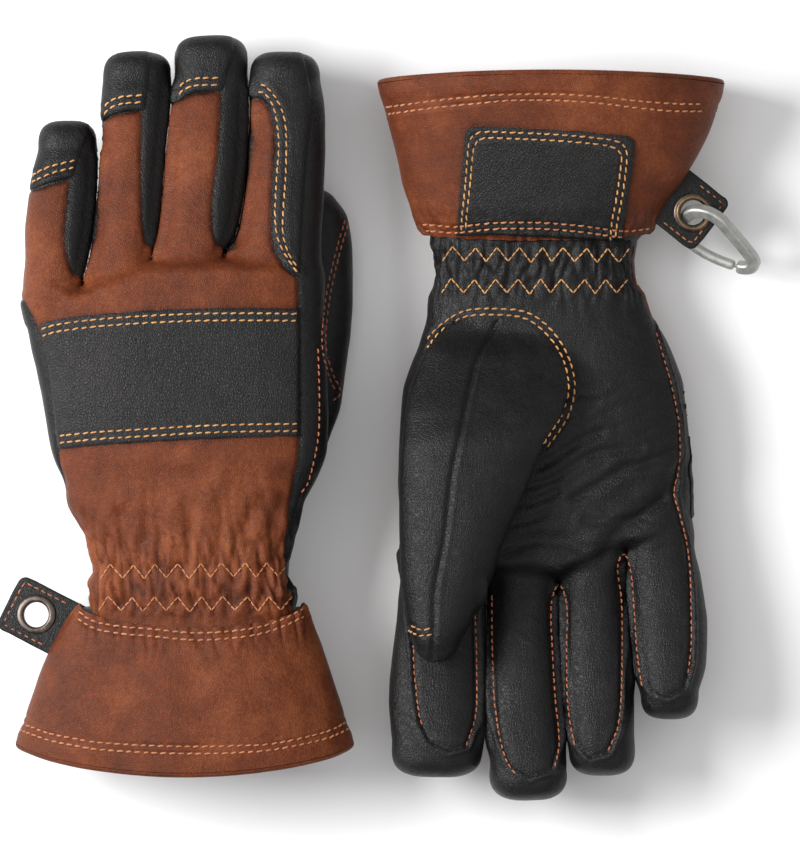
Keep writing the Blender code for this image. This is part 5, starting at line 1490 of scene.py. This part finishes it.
    # lining of the cuff, down to the wrist
    rings = []
    for t_, dg in ((0.82, -3.6), (0.8, -3.0), (0.7, -3.4), (0.55, -3.6), (0.4, -3.6), (0.25, -3.4),
                   (0.12, -3.0), (0.03, -2.6)):
        base = cuff.point(np.full(m, t_), a)
        nrm = cuff_normal(cuff, np.full(m, t_), a)
        dd = 0.9 * vnoise(base, 30, seed) + 0.5 * vnoise(base, 7, seed + 3)
        rings.append(base + nrm * (dg + dd)[:, None])
    last = rings[-1].copy()
    for dy, sc in ((4.0, 0.96), (12.0, 0.93), (24.0, 0.95)):
        q = last.copy()
        c = last.mean(0)
        q[:, 0] = c[0] + (last[:, 0] - c[0]) * sc * 0.95
        q[:, 2] = c[2] + (last[:, 2] - c[2]) * sc * 0.86
        q[:, 1] = last[:, 1].mean() * 0.7 + last[:, 1] * 0.3 + dy
        rings.append(q)
    P3 = np.vstack(rings)
    T3 = grid_tris(len(rings), m)
    T3 = face_out(P3, T3, lambda c: -np.column_stack([c[:, 0], 0 * c[:, 0], c[:, 2] + 8]))
    ob = piece(S + "cuff_lining", P3, T3, g, M["fleece"], vertex_normals(P3, T3), P3)
    tuple(g.world((0, 3.0, 0)))
    tuple(g.world((0, 27.0, 0)))
    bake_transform(ob)
    # lining of the hand: a bag from the wrist to the finger roots
    ys = [14.0, 26.0, 45.0, 70.0, 95.0, 110.0, 116.0, 118.0]
    rings = []
    k = 120
    a2 = np.arange(k) * 2 * math.pi / k
    for i, yy in enumerate(ys):
        xc, hw, zc, ht = (float(v) for v in g.hand.at(yy))
        f = (1, 1, 1, 1, 1, 0.9, 0.6, 0.05)[i]
        ca, sa = np.cos(a2), np.sin(a2)
        r = (np.abs(ca) ** 2.4 + np.abs(sa) ** 2.4) ** (-1 / 2.4)
        q = np.column_stack([xc + (hw - 4.6) * r * ca * f, np.full(k, yy), zc + (ht - 4.8) * r * sa * f])
        rings.append(q)
    P4 = np.vstack(rings)
    T4 = face_out(P4, grid_tris(len(ys), k), lambda c: -np.column_stack([c[:, 0], 0 * c[:, 0], c[:, 2]]))
    ob = piece(S + "hand_lining", P4, T4, g, M["fleece"], vertex_normals(P4, T4), P4)
    tuple(g.world((0, 3.0, 0)))
    tuple(g.world((0, 27.0, 0)))
    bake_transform(ob)
    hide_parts(S + "hand_lining")
    # elastic band between leather and lining
    rings = []
    for yy, o in ((6.0, 3.9), (5.6, 3.1), (6.2, 3.0), (19.8, 3.0), (20.4, 3.1), (20.0, 3.9), (6.0, 3.9)):
        xc, hw, zc, ht = (float(v) for v in g.hand.at(yy))
        q = np.column_stack([xc + (hw - o) * np.cos(a2), np.full(k, yy), zc + (ht - o) * np.sin(a2)])
        rings.append(q)
    P5 = np.vstack(rings)
    T5 = grid_tris(len(rings), k)
    T5 = face_out(P5, T5, lambda c: np.column_stack([c[:, 0] - P5[:, 0].mean(), 0 * c[:, 0], c[:, 2] - P5[:, 2].mean()]))
    ob = piece(S + "wrist_elastic", P5, T5, g, M["elastic"], vertex_normals(P5, T5), P5)
    tuple(g.world((0, 3.0, 0)))
    tuple(g.world((0, 27.0, 0)))
    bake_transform(ob)
    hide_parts(S + "wrist_elastic")
    log(g.side, "gauntlet done")


def cuff_mid(cuff, C):
    return -3.0 - 9.0 * C[:, 6]


def cuff_normal(cuff, t, a):
    e = 1e-3
    u = cuff.point(t, a + e) - cuff.point(t, a - e)
    v = cuff.point(np.clip(t, e, 1 - e) + e, a) - cuff.point(np.clip(t, e, 1 - e) - e, a)
    n = np.cross(u, v)
    n /= np.maximum(np.linalg.norm(n, axis=1), 1e-9)[:, None]
    p = cuff.point(t, a)
    c = p.mean(0)
    if ((p - c) * n)[:, [0, 2]].sum() < 0:
        n = -n
    n[:, 1] *= 0.3
    return n / np.linalg.norm(n, axis=1)[:, None]


def orient_strip(P, T, rings, m):
    """Faces of a strip turned so that its first ring's side looks outwards."""
    c = P[T].mean(1)
    a, b, d = P[T[:, 0]], P[T[:, 1]], P[T[:, 2]]
    n = np.cross(b - a, d - a)
    first = (T // m).max(1) <= 1
    mid = rings[0].mean(0)
    o = (c - mid)[:, [0, 2]]
    if (n[:, [0, 2]] * o)[first].sum() < 0:
        T = T[:, ::-1]
    return np.ascontiguousarray(T)


# ------------------------------------------------------------------ stitching
def hitter(side):
    trees = []
    for W, T, cat in SURF[side]:
        used, inv = np.unique(T, return_inverse=True)
        F = inv.reshape(T.shape)
        trees.append((BVHTree.FromPolygons(W[used].tolist(), F.tolist()), cat))
    return trees


def ray(trees, x, y, up):
    """First surface met from above (up) or below, in world metres."""
    o = Vector((x, y, 0.2 if up else -0.2))
    dvec = Vector((0, 0, -1 if up else 1))
    best = None
    for tree, cat in trees:
        p, n, i, dist = tree.ray_cast(o, dvec)
        if p is not None and (best is None or dist < best[2]):
            best = (p, n, dist, cat)
    return best


STITCHES = {}


def stitch(side, cat, colour, p, tang, nrm, length=2.7, radius=0.40, high=0.34):
    STITCHES.setdefault((side, cat, colour), []).append((np.array(p), np.array(tang), np.array(nrm),
                                                         length, radius * 0.88, high))


def run_row(g, trees, line, colour, pitch=3.5, length=2.5, radius=0.42, slant=7.0, up=None,
            plan=False, only=None):
    """Stitches along a plan polyline, laid on the surface under it."""
    pts = np.asarray(line, float) if plan else g.plan(line)
    q = catmull(pts, 0.5)
    seg = np.linalg.norm(np.diff(q, axis=0), axis=1)
    if up is None:
        up = True
    W = g.world(np.column_stack([q, np.zeros(len(q))]))
    hits, pos, nor, cats = [], [], [], []
    for w in W:
        h = ray(trees, w[0], w[1], up)
        if h is None:
            pos.append(None), nor.append(None), cats.append(None)
            continue
        n = np.array(h[1])
        if (n[2] > 0) != up:
            n = -n
        pos.append(np.array(h[0])), nor.append(n), cats.append(h[3])
    s = 0.0
    path = [0.0]
    for i in range(1, len(q)):
        if pos[i] is None or pos[i - 1] is None:
            step = seg[i - 1] / 1000
        else:
            step = min(np.linalg.norm(pos[i] - pos[i - 1]), 0.003)
        path.append(path[-1] + step * 1000)
    path = np.array(path)
    count = int(path[-1] / pitch)
    if count < 1:
        return
    off = (path[-1] - (count - 1) * pitch) / 2
    for j in range(count):
        c = off + j * pitch
        i0 = int(np.searchsorted(path, c - length / 2).clip(0, len(path) - 1))
        i1 = int(np.searchsorted(path, c + length / 2).clip(0, len(path) - 1))
        im = (i0 + i1) // 2
        if i0 == i1 or pos[i0] is None or pos[i1] is None or pos[im] is None:
            continue
        if only and cats[im] not in only:
            continue
        a, b = pos[i0], pos[i1]
        if np.linalg.norm(b - a) > 0.006 or cats[i0] != cats[i1]:
            if np.linalg.norm(b - a) > 0.0045:
                continue
        n = nor[i0] + nor[i1] + nor[im]
        n /= np.linalg.norm(n)
        tang = (b - a) / np.linalg.norm(b - a)
        sl = math.radians(slant)
        bi = np.cross(n, tang)
        tang = tang * math.cos(sl) + bi * math.sin(sl)
        stitch(g.side, cats[im], colour, (a + b + pos[im]) / 3, tang, n,
               np.linalg.norm(b - a) * 1000, radius)


def zigzag(g, trees, ends, colour, up, pitch=9.0, amp=2.9):
    a, b = g.plan(ends)
    L = np.linalg.norm(b - a)
    k = max(2, int(round(L / (pitch / 2))))
    u = (b - a) / L
    v = np.array([-u[1], u[0]])
    rng = np.random.default_rng(7 if up else 8)
    pts = []
    for i in range(k + 1):
        p = a + (b - a) * i / k + v * (amp if i % 2 else -amp) * (1 + 0.12 * rng.uniform(-1, 1))
        pts.append(p + u * rng.uniform(-0.4, 0.4))
    for p, q in zip(pts[:-1], pts[1:]):
        for j in range(3):
            p0 = p + (q - p) * (j + 0.08) / 3
            p1 = p + (q - p) * (j + 0.92) / 3
            w0, w1 = g.world((*p0, 0)), g.world((*p1, 0))
            h0, h1 = ray(trees, w0[0], w0[1], up), ray(trees, w1[0], w1[1], up)
            if h0 is None or h1 is None:
                continue
            A, B = np.array(h0[0]), np.array(h1[0])
            if np.linalg.norm(B - A) > 0.0055:
                continue
            n = np.array(h0[1]) + np.array(h1[1])
            if (n[2] > 0) != up:
                n = -n
            n /= np.linalg.norm(n)
            stitch(g.side, h0[3], colour, (A + B) / 2, (B - A) / np.linalg.norm(B - A), n,
                   np.linalg.norm(B - A) * 1000 + 0.25, 0.36)


def build_stitches():
    rng = np.random.default_rng(5)
    ring = 7
    ts = np.array([-1.0, -0.86, -0.5, 0.0, 0.5, 0.86, 1.0])
    rs = np.array([0.0, 0.62, 0.96, 1.0, 0.96, 0.62, 0.0])
    hs = np.array([-0.55, -0.22, 0.42, 0.72, 0.42, -0.22, -0.55])
    ang = np.arange(ring) * 2 * math.pi / ring
    template_T = [(0, 1 + (j + 1) % ring, 1 + j) for j in range(ring)]
    for i in range(4):
        for j in range(ring):
            a, b = 1 + i * ring + j, 1 + i * ring + (j + 1) % ring
            c, d = b + ring, a + ring
            template_T += [(a, b, c), (a, c, d)]
    end = 1 + 5 * ring
    template_T += [(end, 1 + 4 * ring + j, 1 + 4 * ring + (j + 1) % ring) for j in range(ring)]
    template_T = np.array(template_T)
    for (side, cat, colour), items in STITCHES.items():
        g = left_glove if side == "left" else right_glove
        V, F, NN, RR = [], [], [], []
        for p, t, n, L, r, high in items:
            n = n - t * (n @ t)
            n /= np.linalg.norm(n)
            bi = np.cross(n, t)
            r = r * (1 + 0.08 * rng.uniform(-1, 1))
            yaw = math.radians(rng.uniform(-4, 4))
            t, bi = t * math.cos(yaw) + bi * math.sin(yaw), bi * math.cos(yaw) - t * math.sin(yaw)
            pts, nrm = [p + (t * (-L / 2) + n * hs[0] * high) / 1000], [-t]
            for i in range(1, 6):
                c = t * (ts[i] * L / 2) + n * (hs[i] * high + 0.06)
                for w in ang:
                    o = bi * math.cos(w) + n * math.sin(w)
                    pts.append(p + (c + o * r * rs[i]) / 1000)
                    nrm.append(o + t * ts[i] * 0.35)
            pts.append(p + (t * (L / 2) + n * hs[6] * high) / 1000)
            nrm.append(t)
            F.append(template_T + len(V) * len(pts))
            V.append(pts)
            NN.append(nrm)
        P = np.array(V).reshape(-1, 3)
        Nn = np.array(NN).reshape(-1, 3)
        Nn /= np.linalg.norm(Nn, axis=1)[:, None]
        F = np.vstack(F)
        a, b, c = P[F[:, 0]], P[F[:, 1]], P[F[:, 2]]
        if (np.cross(b - a, c - a) * Nn[F[:, 0]]).sum() < 0:
            F = F[:, ::-1]
        ob = piece(f"{side}_{cat}_{colour}_stitching", P, F, None, M[colour], Nn, P * 1000)
        place(ob, g, cat)
    log("stitches", sum(len(v) for v in STITCHES.values()))


def sew(g):
    trees = hitter(g.side)
    up = True
    if g.side == "left":
        for line, col in g.table["stitch_back"]:
            run_row(g, trees, line, "gold" if col == "gold" else "tan_thread", up=True)
        for ends in g.table["zigzag_back"]:
            zigzag(g, trees, ends, "tan_thread", True)
        for ends in (((103, 575), (288, 575)), ((103, 604), (290, 604))):
            zigzag(g, trees, ends, "gold", False)
        for line in ([(349, 218), (337, 262), (328.5, 305), (325.5, 345), (332, 372), (340, 392),
                      (331, 402)],
                     [(345, 218), (333, 262), (324.5, 305), (322.0, 345), (328, 374), (335, 391)]):
            run_row(g, trees, line, "rust", pitch=3.0, length=2.1, radius=0.36, up=True)
        run_row(g, trees, [(318, 345), (319.5, 400), (318, 440), (309, 480), (300, 494)], "rust",
                pitch=3.0, length=2.1, radius=0.36, up=True)
    else:
        for line, col in g.table["stitch_palm"]:
            c = {"gold": "gold", "tan": "tan_thread", "rust": "rust"}[col]
            if col == "rust":
                run_row(g, trees, line, c, pitch=2.9, length=2.1, radius=0.37, slant=3, up=True)
            else:
                run_row(g, trees, line, c, up=True)
        for ends in g.table["zigzag_palm"]:
            zigzag(g, trees, ends, "gold", True)
        for ends in (((440, 254), (628, 254)), ((440, 286), (628, 286))):
            zigzag(g, trees, ends, "tan_thread", False)
    # the side that lies on the floor, sewn the same way
    cuff = Cuff(g)
    low = -1 if g.side == "left" else 1
    for base, offs in ((0.0, (3.0, 5.8)), (1.0, (8.0, 11.0))):
        for o in offs:
            a = np.linspace(math.radians(4), math.radians(176), 70) * low
            q = cuff.point(np.full(70, base), a)
            t = base + (o / 62.0 if base == 0 else -o / 62.0)
            q = cuff.point(np.full(70, t), a)
            run_row(g, trees, q[:, :2], "tan_thread", up=False, plan=True, only=("gauntlet",))
    if g.side == "left":
        patch = g.plan(g.table["patch"])
        c = patch.mean(0)
        for k in (3.0, 5.6):
            v = patch - c
            sc = 1 - k / np.abs(v).max(0)
            q = v * sc + c
            q = np.vstack([q, q[:1]])
            for a, b in zip(q[:-1], q[1:]):
                run_row(g, trees, [a + (b - a) * s for s in (0, 0.33, 0.67, 1)], "gold", up=False,
                        plan=True, only=("gauntlet",))
        key = right_table_plan("keystone") + np.array([-1.0, 0.0])
        run_row(g, trees, key, "gold", up=False, plan=True)
    else:
        s = Regions(g).strap
        for lo, hi, ins in ((0, 7, 2.2), (0, 7, 5.0), (11, 16, 2.2), (11, 16, 5.0)):
            seg = s[lo:hi]
            mid = s.mean(0)
            q = seg.copy()
            q[:, 1] += ins * np.sign(mid[1] - seg[:, 1])
            run_row(g, trees, q, "gold", up=False, plan=True)


# ------------------------------------------------------------------ tabs, eyelets, carabiner
TABS = {"left": dict(along=(-0.893, -0.450), tilt=8.0, reach=12.5, root=10.2, half=11.8),
        "right": dict(along=(0.79, 0.613), tilt=6.0, reach=9.6, root=8.4, half=12.6)}


def tab_frame(g):
    t = TABS[g.side]
    along = Vector((t["along"][0] * g.sign, -t["along"][1] * g.sign, 0)).normalized()
    across = Vector((-along.y, along.x, 0))
    tilt = math.radians(t["tilt"])
    along = (along * math.cos(tilt) - Vector((0, 0, 1)) * math.sin(tilt) * g.sign).normalized()
    al, ac = along * g.sign, across * g.sign
    up = al.cross(ac)
    if up.z < 0:
        up, ac = -up, -ac
    lo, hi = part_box(g.S + "eyelet")
    return (lo + hi) / 2 * 1000, al, ac, up


def build_tab(g):
    t = TABS[g.side]
    c, al, ac, up = tab_frame(g)
    c, al, ac, up = (np.array(v) for v in (c, al, ac, up))
    if g.side == "left":
        al = al
    r, h, deep = 3.2, t["half"], t["root"] + 6.5
    ring = [(-deep, -h), (-t["root"] * 0.4, -h), (t["reach"] * 0.5, -h - 0.15)]
    for cx, cy, a0 in ((t["reach"] - r, -h + r, -90), (t["reach"] - r, h - r, 0)):
        ring += [(cx + r * math.cos(math.radians(a0 + q)), cy + r * math.sin(math.radians(a0 + q)))
                 for q in (0, 15, 30, 45, 60, 75, 90)]
        if a0 == -90:
            ring += [(t["reach"] + 0.25, -h * 0.4), (t["reach"] + 0.1, h * 0.3)]
    ring += [(t["reach"] * 0.5, h - 0.2), (-t["root"] * 0.4, h), (-deep, h)]
    outer = np.array(ring)
    # resample the outline
    closed = np.vstack([outer, outer[:1]])
    seg = np.linalg.norm(np.diff(closed, axis=0), axis=1)
    cum = np.concatenate([[0], np.cumsum(seg)])
    n = 160
    s = np.arange(n) / n * cum[-1]
    O = np.column_stack([np.interp(s, cum, closed[:, 0]), np.interp(s, cum, closed[:, 1])])
    ang = np.arctan2(O[:, 1], O[:, 0])
    I = np.column_stack([np.cos(ang), np.sin(ang)]) * 6.0
    levels = [0.0, 0.25, 0.5, 0.7, 0.82, 0.9, 0.95, 0.985, 1.0]
    P = []
    T = []

    def bend(u, v):
        return 0.25 * np.sin(0.16 * u + 0.4) + 0.25 * np.sin(v * 0.18)

    rows = []
    for side_z in (1, -1):
        for lv in levels:
            Q = I + (O - I) * lv
            d = (1 - lv) * np.linalg.norm(O - I, axis=1)
            edge = np.where(d < 1.0, -0.45 * (1 - d / 1.0) ** 2, 0)
            stitch_dip = -0.2 * np.exp(-((d - 2.4) / 0.8) ** 2)
            zz = side_z * (1.05 + edge + stitch_dip) + bend(Q[:, 0], Q[:, 1])
            rows.append(np.column_stack([Q, zz]))
    top, bot = rows[:len(levels)], rows[len(levels):]
    seq = top + bot[::-1]
    L = np.vstack(seq)
    noise_d = 0.12 * vnoise(L, 6.0, 4.0)
    L[:, 2] += noise_d
    W = c + L[:, :1] * al + L[:, 1:2] * ac + L[:, 2:] * up
    k = len(seq)
    T = grid_tris(k, n)
    T = np.vstack([T, np.array([[(k - 1) * n + j, (k - 1) * n + (j + 1) % n, (j + 1) % n] for j in range(n)]),
                   np.array([[(k - 1) * n + j, (j + 1) % n, j] for j in range(n)])])
    NV = vertex_normals(W, T)
    a = W[T].mean(1) - c
    if (NV[:n * 3] @ up).mean() < 0:
        T = T[:, ::-1]
        NV = -NV
    ob = piece(g.S + "hang_tab", W / 1000, T, None, M["strap"], NV, L + 300)
    ob.data.materials[0] = M["black"]
    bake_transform(ob)
    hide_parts(g.S + "hang_tab")
    # one row of stitches inside three of its sides
    rr = r - 2.0
    path = [(-t["root"] + 1.0, -h + 2.3)]
    for cx, cy, a0 in ((t["reach"] - 2.3 - rr, -h + 2.3 + rr, -90), (t["reach"] - 2.3 - rr, h - 2.3 - rr, 0)):
        path += [(cx + rr * math.cos(math.radians(a0 + q)), cy + rr * math.sin(math.radians(a0 + q)))
                 for q in (0, 45, 90)]
    path.append((-t["root"] + 1.0, h - 2.3))
    path = np.array(path)
    seg = np.linalg.norm(np.diff(path, axis=0), axis=1)
    cum = np.concatenate([[0], np.cumsum(seg)])
    for side_z in (1, -1):
        for s0 in np.arange(1.5, cum[-1] - 1, 3.1):
            e0 = [np.interp(s0 + w, cum, path[:, i]) for w in (-1.1, 1.1) for i in (0, 1)]
            p0, p1 = np.array(e0[:2]), np.array(e0[2:])
            mid = (p0 + p1) / 2
            w0 = c + mid[0] * al + mid[1] * ac + up * side_z * 0.92
            tang = (p1 - p0) @ np.stack([al, ac])
            tang = tang / np.linalg.norm(tang)
            stitch(g.side, "tab", "rust", w0 / 1000, tang, up * side_z,
                   float(np.linalg.norm(p1 - p0)), 0.36)
    # eyelet
    b = 5.0
    prof = [(b, -1.0), (b, 0.9), (b + 0.15, 1.35), (b + 0.5, 1.72), (b + 1.0, 1.82), (b + 1.7, 1.78),
            (b + 2.3, 1.62), (b + 2.75, 1.4), (b + 2.9, 1.2), (b + 2.75, 1.0), (b + 1.2, 1.0),
            (b + 1.2, -1.0), (b + 2.75, -1.0), (b + 2.9, -1.25), (b + 2.6, -1.6), (b + 1.7, -1.8),
            (b + 0.7, -1.75), (b + 0.15, -1.4)]
    lathe(g.S + "eyelet", prof, c, al, ac, up, M["gunmetal"], g, "tab",
          [g.S + "eyelet"])
    if g.side == "right":
        R, q = 6.35, 0.42
        prof = [(R + q * math.cos(v), 1.62 + 0.32 * math.sin(v))
                for v in np.linspace(0, 2 * math.pi, 10, endpoint=False)[::-1]]
        lathe(g.S + "eyelet_ring", prof, c, al, ac, up, M["brass"], g, "tab", [])


def lathe(name, prof, c, al, ac, up, mat, g, cat, nodes, n=72):
    a = np.arange(n) * 2 * math.pi / n
    rows = []
    for r, z in prof:
        rows.append(np.column_stack([r * np.cos(a), r * np.sin(a), np.full(n, z)]))
    rows.append(rows[0])
    L = np.vstack(rows)
    W = c + L[:, :1] * al + L[:, 1:2] * ac + L[:, 2:] * up
    k = len(rows)
    T = grid_tris(k, n)
    T = np.where(T >= (k - 1) * n, T - (k - 1) * n, T)
    W = W[:(k - 1) * n]
    v = np.einsum("ij,ij->i", W[T[:, 0]] - c, np.cross(W[T[:, 1]] - c, W[T[:, 2]] - c)).sum()
    if v < 0:
        T = T[:, ::-1]
    ob = piece(name, W / 1000, T, None, mat, vertex_normals(W, T), L[:(k - 1) * n])
    place(ob, g, cat)
    if nodes:
        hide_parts(*nodes)
    return ob


def sweep(name, path, section, mat, frame_m, body, nodes, closed_ends=True, radii=None):
    """A bar of a given section along a plane path, in the carabiner's plane."""
    p = np.asarray(path, float)
    tan = np.gradient(p, axis=0)
    tan /= np.linalg.norm(tan, axis=1)[:, None]
    nor = np.column_stack([-tan[:, 1], tan[:, 0]])
    n = len(section)
    rows = []
    for i in range(len(p)):
        sc = 1.0 if radii is None else radii[i]
        s = np.asarray(section) * sc
        rows.append(np.column_stack([p[i, 0] + nor[i, 0] * s[:, 0], p[i, 1] + nor[i, 1] * s[:, 0], s[:, 1]]))
    L = np.vstack(rows)
    T = grid_tris(len(p), n)
    k = len(p)
    cap0 = np.array([[0, j + 1, j] for j in range(1, n - 1)])
    cap1 = np.array([[0, j, j + 1] for j in range(1, n - 1)]) + (k - 1) * n
    T = np.vstack([T, cap0, cap1])
    mt = np.array(frame_m)
    W = (L / 1000) @ mt[:3, :3].T + mt[:3, 3]
    c = W.mean(0)
    vol = np.einsum("ij,ij->i", W[T[:, 0]] - c, np.cross(W[T[:, 1]] - c, W[T[:, 2]] - c)).sum()
    if vol < 0:
        T = T[:, ::-1]
    me = bpy.data.meshes.new(name)
    me.from_pydata(W.tolist(), [], T.tolist())
    me.materials.append(mat)
    me.polygons.foreach_set("use_smooth", np.ones(len(me.polygons), bool))
    me.update()
    me.set_sharp_from_angle(angle=math.radians(32))
    ob = bpy.data.objects.new(name, me)
    bpy.context.scene.collection.objects.link(ob)
    made.append(ob)
    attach(ob, body)
    if nodes:
        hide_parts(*nodes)
    return ob


def build_carabiner():
    lo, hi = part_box("right_eyelet")
    eye = (lo + hi) / 2
    heading, aside = Vector((0.737, -0.676, 0.0)), Vector((0.676, 0.737, 0.0))
    lean, roll = math.radians(17), math.radians(44)
    rise = heading * math.sin(lean) + Vector((0, 0, math.cos(lean)))
    u = (heading * math.cos(lean) - Vector((0, 0, math.sin(lean)))).normalized()
    v = (aside * math.sin(roll) + rise * math.cos(roll)).normalized()
    n = u.cross(v)
    m = Matrix.Translation(eye + heading * -0.0007 - aside * 0.0006) @ Matrix(
        (u, v, n)).transposed().to_4x4()
    hook = [(8.9, -12.8), (5.8, -11.4), (2.9, -8.2), (0.9, -4.2), (0.0, 0.0), (1.2, 3.8),
            (4.6, 6.9), (9.0, 8.2), (13.0, 7.9)]
    bottom = [(31.0, 4.9), (33.3, 3.4), (34.0, 1.0), (33.3, -1.4), (31.9, -3.2), (30.6, -4.3)]
    path = np.vstack([catmull(hook, 0.6), catmull([(13.0, 7.9), (19, 7.05), (25, 6.1), (31.0, 4.9)], 1.0)[1:-1],
                      catmull(bottom, 0.6)])
    for _ in range(3):
        path[1:-1] = (path[:-2] + 2 * path[1:-1] + path[2:]) / 4
    # an octagonal section: wide flats with chamfered corners
    w, h_, c = 2.45, 2.2, 0.75
    sec = [(w, -h_ + c), (w, h_ - c), (w - c, h_), (-w + c, h_), (-w, h_ - c), (-w, -h_ + c),
           (-w + c, -h_), (w - c, -h_)]
    rad = np.ones(len(path))
    rad[0], rad[1] = 0.72, 0.92
    rad[-1], rad[-2] = 0.72, 0.92
    ob = sweep("carabiner_body", path, sec, M["aluminium"], m, "carabiner",
               ["carabiner_body"], radii=rad)
    bev = ob.modifiers.new("soften", "BEVEL")
    bev.width, bev.segments, bev.limit_method = 0.00022, 2, "ANGLE"
    bev.angle_limit = math.radians(30)
    bev.use_clamp_overlap = True
    hinge, nose = np.array((28.6, -5.7)), np.array((11.3, -13.1))
    gd = (nose - hinge) / np.linalg.norm(nose - hinge)
    tail = hinge - 1.25 * gd
    g_path = catmull([tuple(tail), (24.0, -8.9), (18.4, -11.4), (14.0, -12.6), tuple(nose)], 0.5)
    k = len(g_path)
    rad = np.ones(k)
    for i, f in enumerate((0.72, 0.9, 0.97)):
        rad[i] = rad[-1 - i] = f
    q = np.linspace(0, 2 * math.pi, 20, endpoint=False)
    sec = [(2.15 * math.cos(t_), 2.05 * math.sin(t_)) for t_ in q]
    sweep("carabiner_gate", g_path, sec, M["aluminium"], m, "carabiner_gate",
          ["carabiner_gate"], radii=rad)
    # knuckle that carries the hinge pin
    kn = np.array([hinge + gd * s for s in np.linspace(-1.6, 1.6, 5)])
    link = [(32.6, -2.2), (30.6, -4.2), tuple(hinge)]
    sweep("carabiner_hinge_tongue", catmull(link, 0.6), [(0.9 * math.cos(t_), 0.62 * math.sin(t_)) for t_ in q],
          M["aluminium"], m, "carabiner", [])
    for nme, mt in (("carabiner_gate_pin", "steel"), ("carabiner_gate_spring", "steel")):
        o = frame["nodes"][nme]
        o.data.materials.clear()
        o.data.materials.append(M[mt])


# ------------------------------------------------------------------ run
for G in (left_glove, right_glove):
    build_skin(G)
    build_gauntlet(G)
    build_tab(G)
    sew(G)
build_carabiner()
build_stitches()

# ------------------------------------------------------------------ stage, light, camera
floor_z = min(cad_box[0][2], float(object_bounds()[0][2]))
bm = bmesh.new()
bmesh.ops.create_grid(bm, x_segments=2, y_segments=2, size=3.0)
me = bpy.data.meshes.new("floor")
bm.to_mesh(me)
bm.free()
floor = bpy.data.objects.new("floor", me)
floor.location = (0, 0, floor_z - 0.0002)
bpy.context.scene.collection.objects.link(floor)
k = Nodes("pale floor")
k.v = k.new("ShaderNodeTexCoord").outputs["Object"]
k.link(k.ramp(k.noise(120, 2.0, 0.5), [(0.3, (0.90, 0.90, 0.905, 1)), (0.7, (0.92, 0.92, 0.92, 1))]),
       k.bsdf.inputs["Base Color"])
k.bsdf.inputs["Roughness"].default_value = 0.9
k.bsdf.inputs["Specular IOR Level"].default_value = 0.1
me.materials.append(k.m)
floor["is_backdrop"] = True


def area(name, loc, target, size, power, colour=(1, 1, 1)):
    li = bpy.data.lights.new(name, "AREA")
    li.shape, li.size, li.size_y = "RECTANGLE", size[0], size[1]
    li.energy, li.color = power, colour
    ob = bpy.data.objects.new(name, li)
    bpy.context.scene.collection.objects.link(ob)
    ob.location = loc
    ob.rotation_euler = (Vector(target) - Vector(loc)).to_track_quat("-Z", "Y").to_euler()
    return ob


area("key", (-1.03, 0.20, 1.0), (0, 0, 0.02), (0.7, 0.7), 30.5)
area("top", (0.1, 0.0, 1.5), (0, 0, 0.02), (1.8, 1.8), 10.2)
area("right fill", (1.1, -0.3, 0.9), (0, 0, 0.02), (0.9, 0.9), 0.8)
world = bpy.data.worlds.new("studio")
bpy.context.scene.world = world
world.use_nodes = True
world.node_tree.nodes["Background"].inputs[0].default_value = (1, 1, 1, 1)
world.node_tree.nodes["Background"].inputs[1].default_value = 0.30

cam = bpy.data.cameras.new("camera")
cam_ob = bpy.data.objects.new("camera", cam)
bpy.context.scene.collection.objects.link(cam_ob)
DIST = 6.0
cam.sensor_fit = "VERTICAL"
cam.sensor_height = 36.0
cam.lens = 36.0 * (DIST - 0.03) / 0.3464
cam.clip_end = 20.0
cam.clip_start = 0.5
cam_ob.location = (0.00822, -0.0058, DIST)
cam_ob.rotation_euler = (0, 0, 0)
bpy.context.scene.camera = cam_ob
vs = bpy.context.scene.view_settings
vs.view_transform, vs.look, vs.exposure, vs.gamma = "Standard", "None", 0.0, 1.0

now = [[float(v) for v in p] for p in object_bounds()]
log("bounds", cad_box, now)
